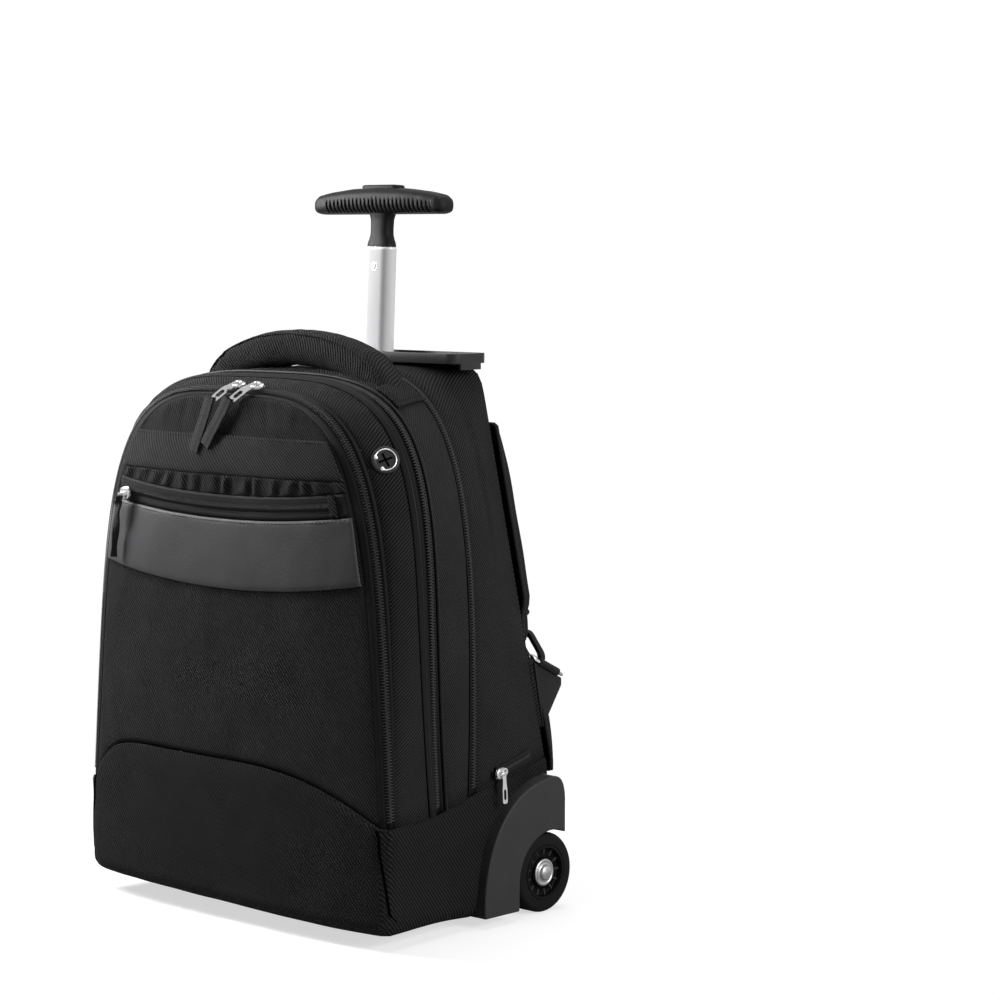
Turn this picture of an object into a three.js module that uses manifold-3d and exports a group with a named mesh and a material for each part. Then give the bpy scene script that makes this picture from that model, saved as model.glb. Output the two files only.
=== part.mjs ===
// A wheeled backpack: a soft zipped bag on two wheels, with a telescopic pull handle,
// a padded grab handle, back pads and shoulder straps clipped down against the back.
// Millimetres, +Z up, the front faces -Y and +X is the right-hand side seen from the front.

import * as THREE from 'three';
import { mergeVertices } from 'three/addons/utils/BufferGeometryUtils.js';
import Module from 'manifold-3d';

const wasm = await Module();
wasm.setup();

// Overall sizes of the bag
const bagHeight = 450;
const bagWidth = 350;
const bagDepth = 196;
const backPlane = 28;
const groundClearance = 9;
const bottomRounding = 11;
const frontBulge = 9;
const frontArchRise = 35;

// Cloth, seams and clearances
const clothWall = 2;
const baseWall = 3;
const seamGap = 0.3;
const baseSeamGap = 0.9;
const mitre = 1.2;
const skinWall = 1.2;
const leatherWall = 1.4;

// Zips and piping
const frontTapeWidth = 8;
const middleTapeWidth = 7;
const rearTapeWidth = 6;
const coilHeight = 1.3;
const gussetPuff = 2.2;
const sidePuff = 4;
const middleZipSink = 1.4;
const pipingRadius = 1.4;
const pipingProud = 0.4;

// Top plate
const plateThickness = 8;
const plateHalfLength = 106;
const plateFront = -22;
const plateBack = 20;
const plateCorner = 9;
const plateLipDrop = 5;
const plateLipWidth = 3.4;
const plateRecessDepth = 2;
const plateRecessHalfLength = 84;
const plateRecessHalfWidth = 16;

// Telescopic pole: a fixed tube in the bag, a middle stage and the tube that carries the grip
const poleLean = THREE.MathUtils.degToRad(2.7);
const poleWidth = 28;
const poleThickness = 16;
const tubeWall = 1.2;
const tubeGap = 0.6;
const poleRise = 85;
const poleTop = bagHeight + poleRise;
const innerTubeLength = 370;
const stageFoot = 44;
const plateHoleGap = 0.8;
const tubeSides = 4;

// Grip
const gripHalfLength = 77;
const gripHeight = 23;
const gripHalfDepth = 13;
const gripRise = 27;
const gripUnderside = poleTop + gripRise;
const neckWidth = 20;
const neckThickness = 13;
const buttonHalfLength = 22;
const buttonHalfWidth = 6.5;
const buttonTravel = 3;
const buttonProud = 3.4;
const buttonGap = 0.5;
const rivetRadius = 2.6;
const rivetDrop = 16;
const rivetProud = 0.3;

// Wheels and their housings
const wheelRadius = 32.5;
const wheelWidth = 20;
const wheelMiddle = 158;
const axleBack = 20;
const coreRadius = 19.7;
const coreWidth = 15;
const coreBore = 4.7;
const hubRadius = 11;
const capRadius = 6;
const axleRadius = 4.2;
const runningGap = 0.4;
const slotCount = 12;
const slotWidth = 3.6;
const slotDepth = 5;
const housingOuter = 175;
const housingInner = 139;
const housingWall = 6.5;
const housingFloor = 8;
const housingTop = 111.5;
const housingFront = -58.5;
const housingBack = 36.7;
const wheelArchRadius = 38;
const wheelArchHeight = 30;

// Grab handle on the top
const handlePlace = -86;
const handleReach = 104;
const handleWidth = 31;
const handleThickness = 23;
const handleRise = 19;
const handleTop = bagHeight + handleRise;

// Front foot under the base
const footHalfLength = 100;
const footWidth = 16;
const footPlace = -112;

// Back pads and shoulder straps
const padThickness = 18;
const padEdge = 4;
const padInner = 14;
const padInset = 7;
const padNotch = 22;
const padNotchReach = 18;
const padClear = 2.5;
const padBottom = housingTop + padClear;
const padTop = bagHeight * 0.871;
const strapWidth = 58;
const strapThickness = 11;
const strapRest = 0.6;
const strapTop = bagHeight * 0.9533;
const strapBottom = bagHeight * 0.591;
const webbingWidth = 25;
const webbingWall = 1.6;
const lockWidth = 36;
const lockHeight = 22;
const lockThickness = 4.4;
const lockBar = 3.6;
const hookLength = 42;
const hookThickness = 5;
const ringWire = 1.6;
const ringReach = 18;
const tabWall = 2.2;

// Small fittings
const portRadius = 11;
const portDepth = 3;
const portSlotWidth = 1.6;
const sliderLength = 13;
const sliderWidth = 9;
const sliderHeight = 5;
const sliderBody = 3;
const metalPullLength = 24;
const pullLength = 44;
const pullWidth = 9;
const pullWall = 1.6;

// Lines around the bag, from its front to its back. Each row is an arch: deepLow, deepTop and
// bow are shares of the depth forward of the back plane, foot, low and shoulder are shares of
// the half width, seam and top are shares of the height. flat and corner shape the arch.
const plateUnderside = bagHeight - plateThickness;
const rows = {
  panelSeam: {
    deepLow: 1, deepTop: 0.985, bow: 0, foot: 0.96, low: 0.949, shoulder: 0.806,
    seam: 0.212, top: 0.931, flat: 5, corner: 3.5,
  },
  frontZip: {
    deepLow: 0.975, deepTop: 0.96, bow: 0, foot: 0.983, low: 0.997, shoulder: 0.874,
    seam: 0.212, top: 0.943, flat: 5, corner: 3.5,
  },
  middleZip: {
    deepLow: 0.673, deepTop: 0.77, bow: 0.037, foot: 0.955, low: 0.959, shoulder: 1.088,
    seam: 0.217, top: 0.966, flat: 5, corner: 3.5,
  },
  rearZip: {
    deepLow: 0.459, deepTop: 0.398, bow: -0.028, foot: 0.94, low: 0.943, shoulder: 0.812,
    seam: 0.238, top: 0.973, flat: 5, corner: 3.5,
  },
  back: {
    deepLow: 0, deepTop: 0.064, bow: 0, foot: 0.93, low: 0.906, shoulder: 0.563,
    seam: 0.278, top: (plateUnderside - seamGap) / bagHeight, flat: 60, corner: 6,
  },
};
const rowOrder = [rows.panelSeam, rows.frontZip, rows.middleZip, rows.rearZip, rows.back];

// Bands across the front panel: heights as shares of the bag's height, at the middle and
// at the side seams
const frontBands = {
  upper: { lowMiddle: 0.793, lowSide: 0.795, highMiddle: 0.862, highSide: 0.862 },
  pleated: { lowMiddle: 0.76, lowSide: 0.778, highMiddle: 0.791, highSide: 0.793 },
  pocket: { lowMiddle: 0.718, lowSide: 0.738, highMiddle: 0.758, highSide: 0.776 },
  leather: { lowMiddle: 0.594, lowSide: 0.622, highMiddle: 0.716, highSide: 0.736 },
};

const halfWidth = bagWidth / 2;
const archSteps = 20;
const frontShares = [0, 0.25, 0.5, 0.72, 0.88, 1];

const lerp = THREE.MathUtils.lerp;
const vec = (x, y, z) => new THREE.Vector3(x, y, z);
const range = (count) => Array.from({ length: count }, (_, index) => index);
const mix = (a, b, share) => a.clone().lerp(b, share);

// Solids

// A closed body from points and triangles, with its faces turned outwards.
function closedBody(points, triangles) {
  let volume = 0;
  for (const [a, b, c] of triangles) {
    volume += points[a].dot(points[b].clone().cross(points[c]));
  }
  const order = volume < 0 ? triangles.map(([a, b, c]) => [a, c, b]) : triangles;
  const geometry = new THREE.BufferGeometry();
  geometry.setAttribute(
    'position', new THREE.Float32BufferAttribute(points.flatMap((p) => [p.x, p.y, p.z]), 3));
  geometry.setIndex(order.flat());
  return geometry;
}

// A skin between two grids of points that share their border: outer and inner face.
function skin(outer, inner) {
  const rowsCount = outer.length;
  const columns = outer[0].length;
  const points = [...outer.flat(), ...inner.flat()];
  const half = rowsCount * columns;
  const at = (i, j) => i * columns + j;
  const triangles = [];
  for (let i = 0; i < rowsCount - 1; i += 1) {
    for (let j = 0; j < columns - 1; j += 1) {
      const [a, b, c, d] = [at(i, j), at(i + 1, j), at(i + 1, j + 1), at(i, j + 1)];
      triangles.push([a, b, c], [a, c, d]);
      triangles.push([c + half, b + half, a + half], [d + half, c + half, a + half]);
    }
  }
  const border = [
    ...range(rowsCount).map((i) => at(i, 0)),
    ...range(columns - 1).map((j) => at(rowsCount - 1, j + 1)),
    ...range(rowsCount - 1).map((i) => at(rowsCount - 2 - i, columns - 1)),
    ...range(columns - 2).map((j) => at(0, columns - 2 - j)),
  ];
  border.forEach((from, index) => {
    const to = border[(index + 1) % border.length];
    triangles.push([to, from, from + half], [to, from + half, to + half]);
  });
  return closedBody(points, triangles);
}

// A body through closed rings of points, with a fan over each end or joined end to end.
function loft(rings, looped = false) {
  const sides = rings[0].length;
  const points = rings.flat();
  const triangles = [];
  const spans = looped ? rings.length : rings.length - 1;
  for (let k = 0; k < spans; k += 1) {
    const next = (k + 1) % rings.length;
    for (let i = 0; i < sides; i += 1) {
      const j = (i + 1) % sides;
      const [a, b, c, d] = [k * sides + i, k * sides + j, next * sides + j, next * sides + i];
      triangles.push([a, b, c], [a, c, d]);
    }
  }
  if (!looped) {
    const middle = (ring) => ring.reduce((sum, p) => sum.add(p), vec(0, 0, 0))
      .divideScalar(ring.length);
    const first = points.push(middle(rings[0])) - 1;
    const last = points.push(middle(rings[rings.length - 1])) - 1;
    const end = (rings.length - 1) * sides;
    for (let i = 0; i < sides; i += 1) {
      const j = (i + 1) % sides;
      triangles.push([j, i, first], [end + i, end + j, last]);
    }
  }
  return closedBody(points, triangles);
}

// A section swept along a curve, its sides turned by a fixed sideways direction.
function sweep(curve, steps, sideways, section) {
  return loft(range(steps + 1).map((k) => {
    const share = k / steps;
    const centre = curve.getPointAt(share);
    const tangent = curve.getTangentAt(share);
    const up = tangent.clone().cross(sideways).normalize();
    return section(share).map(([a, b]) => centre.clone()
      .addScaledVector(sideways, a).addScaledVector(up, b));
  }));
}

const roundSection = (radius, sides) => range(sides).map((i) => {
  const turn = (i / sides) * Math.PI * 2;
  return [Math.cos(turn) * radius, Math.sin(turn) * radius];
});

// A rounded rectangle as a ring of points around the origin.
function softSection(width, height, power, sides) {
  return range(sides).map((i) => {
    const turn = ((i + 0.5) / sides) * Math.PI * 2;
    const [c, s] = [Math.cos(turn), Math.sin(turn)];
    const reach = (value) => Math.sign(value) * Math.abs(value) ** (2 / power);
    return [reach(c) * width / 2, reach(s) * height / 2];
  });
}

function toSolid(geometry) {
  const bare = geometry.clone();
  bare.deleteAttribute('normal');
  bare.deleteAttribute('uv');
  const merged = mergeVertices(bare, 1e-4);
  return new wasm.Manifold(new wasm.Mesh({
    numProp: 3,
    vertProperties: new Float32Array(merged.attributes.position.array),
    triVerts: new Uint32Array(merged.index.array),
  }));
}

function toGeometry(solid) {
  const mesh = solid.getMesh();
  const geometry = new THREE.BufferGeometry();
  geometry.setAttribute('position', new THREE.Float32BufferAttribute(mesh.vertProperties, 3));
  geometry.setIndex(Array.from(mesh.triVerts));
  return geometry;
}

function cutAway(geometry, ...tools) {
  return toGeometry(tools.reduce((solid, tool) => solid.subtract(toSolid(tool)), toSolid(geometry)));
}

function joined(...geometries) {
  return toGeometry(geometries.map(toSolid).reduce((sum, solid) => sum.add(solid)));
}

// An outline in the Y-Z plane made solid from one X to another.
function acrossX(shape, from, to) {
  const geometry = new THREE.ExtrudeGeometry(
    shape, { depth: to - from, bevelEnabled: false, curveSegments: 10 });
  geometry.applyMatrix4(new THREE.Matrix4().makeBasis(vec(0, 1, 0), vec(0, 0, 1), vec(1, 0, 0)));
  return geometry.translate(from, 0, 0);
}

function upright(shape, from, to, curveSegments = 6) {
  return new THREE.ExtrudeGeometry(
    shape, { depth: to - from, bevelEnabled: false, curveSegments }).translate(0, 0, from);
}

// A slot shape with round ends, longer along X.
function roundEnded(width, height, Kind = THREE.Shape) {
  const radius = height / 2;
  const straight = width / 2 - radius;
  const outline = new Kind();
  outline.moveTo(-straight, -radius);
  outline.lineTo(straight, -radius);
  outline.absarc(straight, 0, radius, -Math.PI / 2, Math.PI / 2, false);
  outline.lineTo(-straight, radius);
  outline.absarc(-straight, 0, radius, Math.PI / 2, Math.PI * 1.5, false);
  return outline;
}

function roundedRectangle(left, bottom, right, top, radius) {
  const shape = new THREE.Shape();
  shape.moveTo(left + radius, bottom);
  shape.lineTo(right - radius, bottom);
  shape.absarc(right - radius, bottom + radius, radius, -Math.PI / 2, 0, false);
  shape.lineTo(right, top - radius);
  shape.absarc(right - radius, top - radius, radius, 0, Math.PI / 2, false);
  shape.lineTo(left + radius, top);
  shape.absarc(left + radius, top - radius, radius, Math.PI / 2, Math.PI, false);
  shape.lineTo(left, bottom + radius);
  shape.absarc(left + radius, bottom + radius, radius, Math.PI, Math.PI * 1.5, false);
  return shape;
}

// The object and its materials

const finish = (color, roughness, metalness = 0) => ({ color, roughness, metalness });
const finishes = {
  twill: finish(0x1e1e20, 0.85),
  baseTwill: finish(0x1a1a1c, 0.9),
  leather: finish(0x3e3e40, 0.5),
  zipTape: finish(0x151516, 0.7),
  piping: finish(0x121213, 0.35),
  plastic: finish(0x2b2b2d, 0.5),
  softPlastic: finish(0x1c1c1e, 0.6),
  aluminium: finish(0xc9cbce, 0.35, 1),
  steel: finish(0xd4d6d8, 0.2, 1),
  rubber: finish(0x2c2c2e, 0.85),
  mesh: finish(0x161617, 0.95),
  webbing: finish(0x141415, 0.9),
};

const backpack = new THREE.Group();

function add(name, geometry, look, parent = backpack) {
  const mesh = new THREE.Mesh(geometry, new THREE.MeshStandardMaterial(look));
  mesh.name = name;
  parent.add(mesh);
  return mesh;
}

const mirrored = (geometry) => {
  const copy = geometry.clone().applyMatrix4(new THREE.Matrix4().makeScale(-1, 1, 1));
  const index = copy.index ? Array.from(copy.index.array) : range(copy.attributes.position.count);
  for (let i = 0; i < index.length; i += 3) {
    [index[i + 1], index[i + 2]] = [index[i + 2], index[i + 1]];
  }
  copy.setIndex(index);
  return copy;
};

function addPair(name, geometry, look) {
  add(`${name}_right`, geometry, look);
  add(`${name}_left`, mirrored(geometry), look);
}

// The bag's lines

// A point of a row at a share of the way from the base seam to the top, on the right side.
function rowPoint(row, rise) {
  const up = Math.max(rise, 0);
  const arch = Math.pow(Math.max(1 - up ** row.flat, 0), 1 / row.corner);
  const deep = lerp(row.deepLow, row.deepTop, up) + row.bow * 4 * up * (1 - up);
  return vec(
    halfWidth * lerp(row.low, row.shoulder, up) * arch,
    backPlane - bagDepth * deep,
    bagHeight * lerp(row.seam, row.top, rise));
}

// The same point found by its height.
function rowAtHeight(row, height) {
  const seam = bagHeight * row.seam;
  if (height >= seam) {
    return rowPoint(row, (height - seam) / (bagHeight * row.top - seam));
  }
  const point = rowPoint(row, 0);
  return vec(halfWidth * lerp(row.foot, row.low, height / seam), point.y, height);
}

// A point along a row's arch: -1 at the left base seam, 0 at the top, 1 at the right seam.
function archPoint(row, along) {
  const point = rowPoint(row, 1 - Math.abs(along) ** 3);
  return vec(point.x * Math.sign(along), point.y, point.z);
}

// The line that runs beside a row, a distance towards its neighbour.
function beside(row, neighbour, distance) {
  return (along) => {
    const from = archPoint(row, along);
    const toward = archPoint(neighbour, along).sub(from);
    return from.addScaledVector(toward, distance / toward.length());
  };
}

// A strip of cloth around the bag across a few lines. The profile lists places, counted in
// lines, and how far each stands out; swell fades that along the arch.
function strip(lines, profile, wall, swell = () => 1) {
  const step = 0.01;
  const last = lines.length - 1;
  const outer = [];
  const inner = [];
  for (const k of range(archSteps + 1)) {
    const along = -1 + (2 * k) / archSteps;
    const [low, high] = [Math.max(along - step, -1), Math.min(along + step, 1)];
    const outerRow = [];
    const innerRow = [];
    profile.forEach(([place, proud], index) => {
      const first = Math.min(Math.floor(place), last - 1);
      const atLine = (where) => mix(lines[first](where), lines[first + 1](where), place - first);
      const before = lines[place === first && first > 0 ? first - 1 : first];
      const across = lines[first + 1](along).sub(before(along)).normalize();
      const normal = atLine(high).sub(atLine(low)).cross(across).normalize();
      const point = atLine(along).addScaledVector(normal, proud * swell(along));
      const ends = { 0: mitre, [profile.length - 1]: -mitre };
      outerRow.push(point);
      innerRow.push(point.clone().addScaledVector(normal, -wall)
        .addScaledVector(across, ends[index] ?? 0));
    });
    outer.push(outerRow);
    inner.push(innerRow);
  }
  return skin(outer, inner);
}

const puffed = (height) => [0, 0.3, 0.7, 1].map((v) => [v, height * 4 * v * (1 - v)]);
const coilProfile = (sink) => [[0, -sink], [1, coilHeight - sink], [2, -sink]];

// The front face of the bag

// Height of the base seam across the front, by share of the half width.
const frontSeamHeight = (share) => bagHeight * rows.panelSeam.seam
  + frontArchRise * (1 - Math.abs(share) ** 3) * (1 - 0.1 * share * share);

// A point of the front face at a share of the half width and a height.
function frontPoint(share, height, proud = 0) {
  const edge = rowAtHeight(rows.panelSeam, height);
  const seam = bagHeight * rows.panelSeam.seam;
  const rise = Math.max((height - seam) / (bagHeight * rows.panelSeam.top - seam), 0);
  const swell = (1 - Math.abs(share) ** 3.5) * (1 - Math.min(rise, 1) ** 8);
  return vec(edge.x * share, edge.y - frontBulge * swell - proud, height);
}

// The face itself, from its edge inwards, with the arched base seam along its bottom.
function frontPanel() {
  const arch = range(archSteps + 1).map((k) => archPoint(rows.panelSeam, -1 + (2 * k) / archSteps));
  const seamEdge = [...frontShares].reverse().slice(1, -1);
  const bottom = [...seamEdge, ...frontShares.slice(0, -1).map((share) => -share)]
    .map((share) => frontPoint(share, frontSeamHeight(share)));
  const edge = [...arch, ...bottom];
  const centre = vec(0, 0, bagHeight * 0.56);
  const shrunk = (scale, inward, chamfer = 0) => edge.map((p) => {
    const height = lerp(centre.z, p.z, scale - chamfer);
    const span = Math.max(rowAtHeight(rows.panelSeam, height).x, 1);
    const share = THREE.MathUtils.clamp(p.x * (scale - chamfer) / span, -1, 1);
    const face = frontPoint(share, height);
    return vec(p.x * (scale - chamfer), face.y + inward, height);
  });
  const scales = [1, 0.9, 0.68, 0.35];
  const outer = scales.map((scale) => (scale === 1 ? edge : shrunk(scale, 0)));
  const rimChamfer = 5 / halfWidth;
  const inner = scales.map((scale) => shrunk(scale, clothWall, scale === 1 ? rimChamfer : 0));
  return loft([...inner.reverse(), ...outer]);
}

// A band laid on the front face between two heights.
function frontBand(band, wall, steps, relief = () => 0) {
  const rowsUp = [0, 0.5, 1];
  const grid = (offset) => range(steps + 1).map((k) => {
    const share = -1 + (2 * k) / steps;
    const bend = share * share;
    const low = bagHeight * lerp(band.lowMiddle, band.lowSide, bend);
    const high = bagHeight * lerp(band.highMiddle, band.highSide, bend);
    return rowsUp.map((up) => {
      const height = lerp(low, high, up);
      const lift = offset === 0 ? seamGap : seamGap + offset + relief(share, up);
      return frontPoint(share * 0.985, height, lift);
    });
  });
  return skin(grid(wall), grid(0));
}

// The base: a tub of heavy cloth that closes the bottom of the bag

function baseBoot() {
  const front = frontShares.slice(0, -1).map((share) => ({
    seam: frontSeamHeight(share),
    at: (height) => frontPoint(share, height),
  }));
  const side = rowOrder.flatMap((row, index) => {
    const own = { seam: bagHeight * row.seam, at: (height) => rowAtHeight(row, height) };
    if (index === 0 || index === rowOrder.length - 1) {
      return [own];
    }
    const next = rowOrder[index + 1];
    const between = {
      seam: bagHeight * (row.seam + next.seam) / 2,
      at: (height) => {
        const drop = bagHeight * (next.seam - row.seam) / 2;
        return mix(rowAtHeight(row, height - drop), rowAtHeight(next, height + drop), 0.5);
      },
    };
    return [own, between];
  });
  const backEdge = [0.66, 0.33, 0].map((share) => ({
    seam: bagHeight * rows.back.seam,
    at: (height) => rowAtHeight(rows.back, height).multiply(vec(share, 1, 1)),
  }));
  const right = [...front, ...side, ...backEdge];
  const left = right.slice(1, -1).reverse().map((station) => ({
    seam: station.seam,
    at: (height) => station.at(height).multiply(vec(-1, 1, 1)),
  }));
  const stations = [...right, ...left];
  const middle = backPlane - bagDepth / 2;
  const ring = (rise, inset, lift) => stations.map((station) => {
    const top = station.seam - baseSeamGap;
    const height = lerp(groundClearance + bottomRounding, top, rise);
    const point = station.at(height);
    const [wide, deep] = [halfWidth, bagDepth / 2];
    return vec(
      point.x * (1 - inset / wide),
      middle + (point.y - middle) * (1 - inset / deep),
      height + lift);
  });
  const underside = (inset, lift) => ring(0, inset, lift - bottomRounding);
  const soft = bottomRounding * 0.3;
  const outer = [
    ring(1, 0, 0), ring(0, 0, 0), underside(soft, soft), underside(bottomRounding, 0),
  ];
  const inner = [
    ring(1, baseWall, 0), ring(0, baseWall, 0),
    underside(soft + baseWall, soft + baseWall / 2), underside(bottomRounding + baseWall, baseWall),
  ];
  return loft([...inner.reverse(), ...outer]);
}

// Wheel housing: a plastic corner with an arch over the wheel and a wall behind it

function housingOutline(grow = 0) {
  const shape = new THREE.Shape();
  const rise = housingTop - housingFloor;
  const reach = housingBack - housingFront;
  const [front, back] = [housingFront - grow, housingBack + grow];
  const [floor, top] = [housingFloor - grow, housingTop + grow];
  shape.moveTo(front, floor);
  shape.lineTo(front, floor + rise * 0.16);
  shape.bezierCurveTo(
    front + reach * 0.06, floor + rise * 0.72,
    front + reach * 0.4, top - rise * 0.02,
    back - reach * 0.14, top);
  shape.quadraticCurveTo(back - reach * 0.01, top, back, top - rise * 0.18);
  shape.lineTo(back, floor);
  return shape;
}

function wheelHousing() {
  const arch = new THREE.Shape();
  const archTop = wheelArchHeight + wheelArchRadius;
  arch.moveTo(axleBack - wheelArchRadius, -groundClearance);
  arch.lineTo(axleBack - wheelArchRadius, wheelArchHeight);
  arch.absarc(axleBack, wheelArchHeight, wheelArchRadius, Math.PI, Math.PI / 2, true);
  arch.lineTo(housingBack + wheelRadius, archTop);
  arch.lineTo(housingBack + wheelRadius, -groundClearance);
  return cutAway(
    acrossX(housingOutline(), housingInner, housingOuter),
    acrossX(arch, housingInner + housingWall, housingOuter + housingWall));
}

const housingPocket = acrossX(
  housingOutline(seamGap + 0.1), housingInner - seamGap, housingOuter + bagWidth);

// Wheels

const profilePoints = (pairs) => pairs.map(([radius, place]) => new THREE.Vector2(radius, place));

// A turned body whose axis lies along X at the wheel's centre.
function turned(pairs, segments = 20) {
  return new THREE.LatheGeometry(profilePoints(pairs), segments)
    .rotateZ(-Math.PI / 2)
    .translate(wheelMiddle, axleBack, wheelRadius);
}

function tyre() {
  const half = wheelWidth / 2;
  const inner = coreRadius + seamGap;
  return turned([
    [inner, -half * 0.8], [wheelRadius * 0.86, -half], [wheelRadius, -half * 0.55],
    [wheelRadius, half * 0.55], [wheelRadius * 0.86, half], [inner, half * 0.8],
    [inner, -half * 0.8],
  ]);
}

function wheelCore() {
  const half = coreWidth / 2;
  const body = turned([
    [coreBore, -half], [coreRadius, -half], [coreRadius, half], [coreBore, half],
    [coreBore, -half],
  ]);
  const [slotInner, slotOuter] = [hubRadius + 1.4, coreRadius - 1.4];
  const slots = range(slotCount).map((k) => new THREE.BoxGeometry(
    slotDepth * 2, slotWidth, slotOuter - slotInner)
    .translate(wheelMiddle + half, 0, (slotOuter + slotInner) / 2)
    .rotateX(((k + 0.5) / slotCount) * Math.PI * 2)
    .translate(0, axleBack, wheelRadius));
  return cutAway(body, ...slots);
}

function axle() {
  const wall = housingInner + housingWall - wheelMiddle + seamGap;
  const face = coreWidth / 2 + runningGap;
  return turned([
    [0, wall], [axleRadius, wall], [axleRadius, face], [hubRadius, face],
    [hubRadius, face + 1.2], [capRadius, face + 1.8], [capRadius, face + 4], [0, face + 4.4],
  ], 14);
}

// Pole, grip and plate, drawn about the pole's axis with heights above the plate's top

const pole = new THREE.Group();
pole.position.set(0, 0, bagHeight);
pole.rotation.x = -poleLean;
backpack.add(pole);

const stageGrow = 2 * (tubeWall + tubeGap);
const stageWidth = (stage) => poleWidth + stage * stageGrow;
const stageThickness = (stage) => poleThickness + stage * stageGrow;

function stageTube(stage, from, to) {
  const shape = roundEnded(stageWidth(stage), stageThickness(stage));
  shape.holes.push(roundEnded(
    stageWidth(stage) - 2 * tubeWall, stageThickness(stage) - 2 * tubeWall, THREE.Path));
  return upright(shape, from - bagHeight, to - bagHeight, tubeSides);
}

function poleHole(stage, clearance, from, to) {
  return upright(
    roundEnded(stageWidth(stage) + 2 * clearance, stageThickness(stage) + 2 * clearance),
    from, to, tubeSides).rotateX(-poleLean).translate(0, 0, bagHeight);
}

const tiltDrop = stageThickness(2) / 2 * Math.sin(poleLean);
const boxFloor = groundClearance + baseWall + seamGap + tiltDrop;
const tubeTopStop = plateUnderside - seamGap - tiltDrop;
const rivetHeight = poleTop - rivetDrop - bagHeight;

function pinHole(radius) {
  return new THREE.CylinderGeometry(radius, radius, tubeWall * 3, 12)
    .translate(0, -(poleThickness / 2 - tubeWall / 2), rivetHeight);
}

function rivet() {
  const reach = tubeWall + rivetProud + seamGap;
  return new THREE.CylinderGeometry(rivetRadius, rivetRadius * 0.85, reach, 12)
    .rotateX(Math.PI)
    .translate(0, -(poleThickness / 2 + rivetProud - reach / 2), rivetHeight);
}

// The grip's shape along its length: place, top and underside as shares
const gripShape = [
  { place: -1, top: 0.3, under: 0.12, depth: 0.35 },
  { place: -0.96, top: 0.42, under: 0.02, depth: 0.7 },
  { place: -0.75, top: 0.62, under: 0, depth: 0.88 },
  { place: -0.4, top: 0.88, under: 0, depth: 0.97 },
  { place: 0, top: 1, under: 0, depth: 1 },
];

function gripBody() {
  const table = [...gripShape, ...gripShape.slice(0, -1).reverse()
    .map((row) => ({ ...row, place: -row.place }))];
  const base = gripUnderside - bagHeight;
  const bar = loft(table.map((row) => {
    const [low, high] = [base + gripHeight * row.under, base + gripHeight * row.top];
    return softSection(gripHalfDepth * 2 * row.depth, high - low, 3, 10)
      .map(([a, b]) => vec(gripHalfLength * row.place, a, (low + high) / 2 + b));
  }));
  const neckTable = [
    { height: poleTop + seamGap, width: poleWidth - 1.6, thickness: poleThickness - 1 },
    { height: poleTop + 3, width: poleWidth - 2, thickness: poleThickness - 1.2 },
    { height: poleTop + 10, width: neckWidth, thickness: neckThickness },
    { height: gripUnderside - 4, width: neckWidth, thickness: neckThickness },
    { height: gripUnderside + 5, width: neckWidth + 8, thickness: neckThickness + 3 },
  ];
  const neck = loft(neckTable.map((row) => softSection(row.width, row.thickness, 3.5, 10)
    .map(([a, b]) => vec(a, b, row.height - bagHeight))));
  const pocket = buttonBlock(buttonGap, -buttonTravel - buttonGap, gripHeight);
  return cutAway(joined(bar, neck), pocket);
}

const buttonSeat = gripUnderside + gripHeight - 4 - bagHeight;

function buttonBlock(grow, from, to) {
  return upright(roundEnded(
    2 * (buttonHalfLength + grow), 2 * (buttonHalfWidth + grow)), buttonSeat + from, buttonSeat + to);
}

function topPlate() {
  const outline = roundedRectangle(-plateHalfLength, plateFront, plateHalfLength, plateBack, plateCorner);
  const slab = upright(outline, plateUnderside, bagHeight, 4);
  const lips = [-1, 1].map((side) => {
    const inner = side * (plateHalfLength - plateLipWidth);
    const [left, right] = side > 0 ? [inner, plateHalfLength] : [-plateHalfLength, inner];
    return upright(roundedRectangle(
      left, plateFront + plateCorner, right, plateBack - plateCorner, plateLipWidth * 0.3),
    plateUnderside - plateLipDrop, plateUnderside + 1, 2);
  });
  const recess = upright(
    roundEnded(2 * plateRecessHalfLength, 2 * plateRecessHalfWidth),
    bagHeight - plateRecessDepth, bagHeight + plateThickness);
  return cutAway(joined(slab, ...lips), recess, poleHole(1, plateHoleGap, -40, 40));
}

// Grab handle: a padded loop whose legs land on the cloth beside the middle of the top

const handleShape = [
  { place: 1, height: 0.0, width: 0.8, thick: 0.62 },
  { place: 0.985, height: 0.12, width: 0.82, thick: 0.66 },
  { place: 0.93, height: 0.36, width: 0.86, thick: 0.78 },
  { place: 0.8, height: 0.62, width: 0.92, thick: 0.9 },
  { place: 0.62, height: 0.79, width: 0.97, thick: 0.97 },
  { place: 0.35, height: 0.94, width: 1, thick: 1 },
  { place: 0, height: 1, width: 1, thick: 1 },
];

function grabHandle(seat) {
  const table = [...handleShape, ...handleShape.slice(0, -1).reverse()
    .map((row) => ({ ...row, place: -row.place }))];
  const crown = handleTop - handleThickness / 2;
  const foot = bagHeight * rows.rearZip.top * 0.93;
  const path = new THREE.CatmullRomCurve3(table.map((row) => vec(
    handleReach * row.place, handlePlace, lerp(foot, crown, row.height))));
  const last = table.length - 1;
  const value = (share, key) => {
    const place = share * last;
    const low = Math.min(Math.floor(place), last - 1);
    return lerp(table[low][key], table[low + 1][key], place - low);
  };
  const spans = 1.5 * last;
  const rings = range(spans + 1).map((k) => {
    const share = k / spans;
    const centre = path.getPoint(share);
    const up = path.getTangent(share).cross(vec(0, 1, 0)).normalize();
    return softSection(
      handleWidth * value(share, 'width'), handleThickness * value(share, 'thick'), 3, 8)
      .map(([a, b]) => centre.clone().addScaledVector(vec(0, 1, 0), a).addScaledVector(up, b));
  });
  return cutAway(loft(rings), seat);
}

// Back: pads and straps

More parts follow.
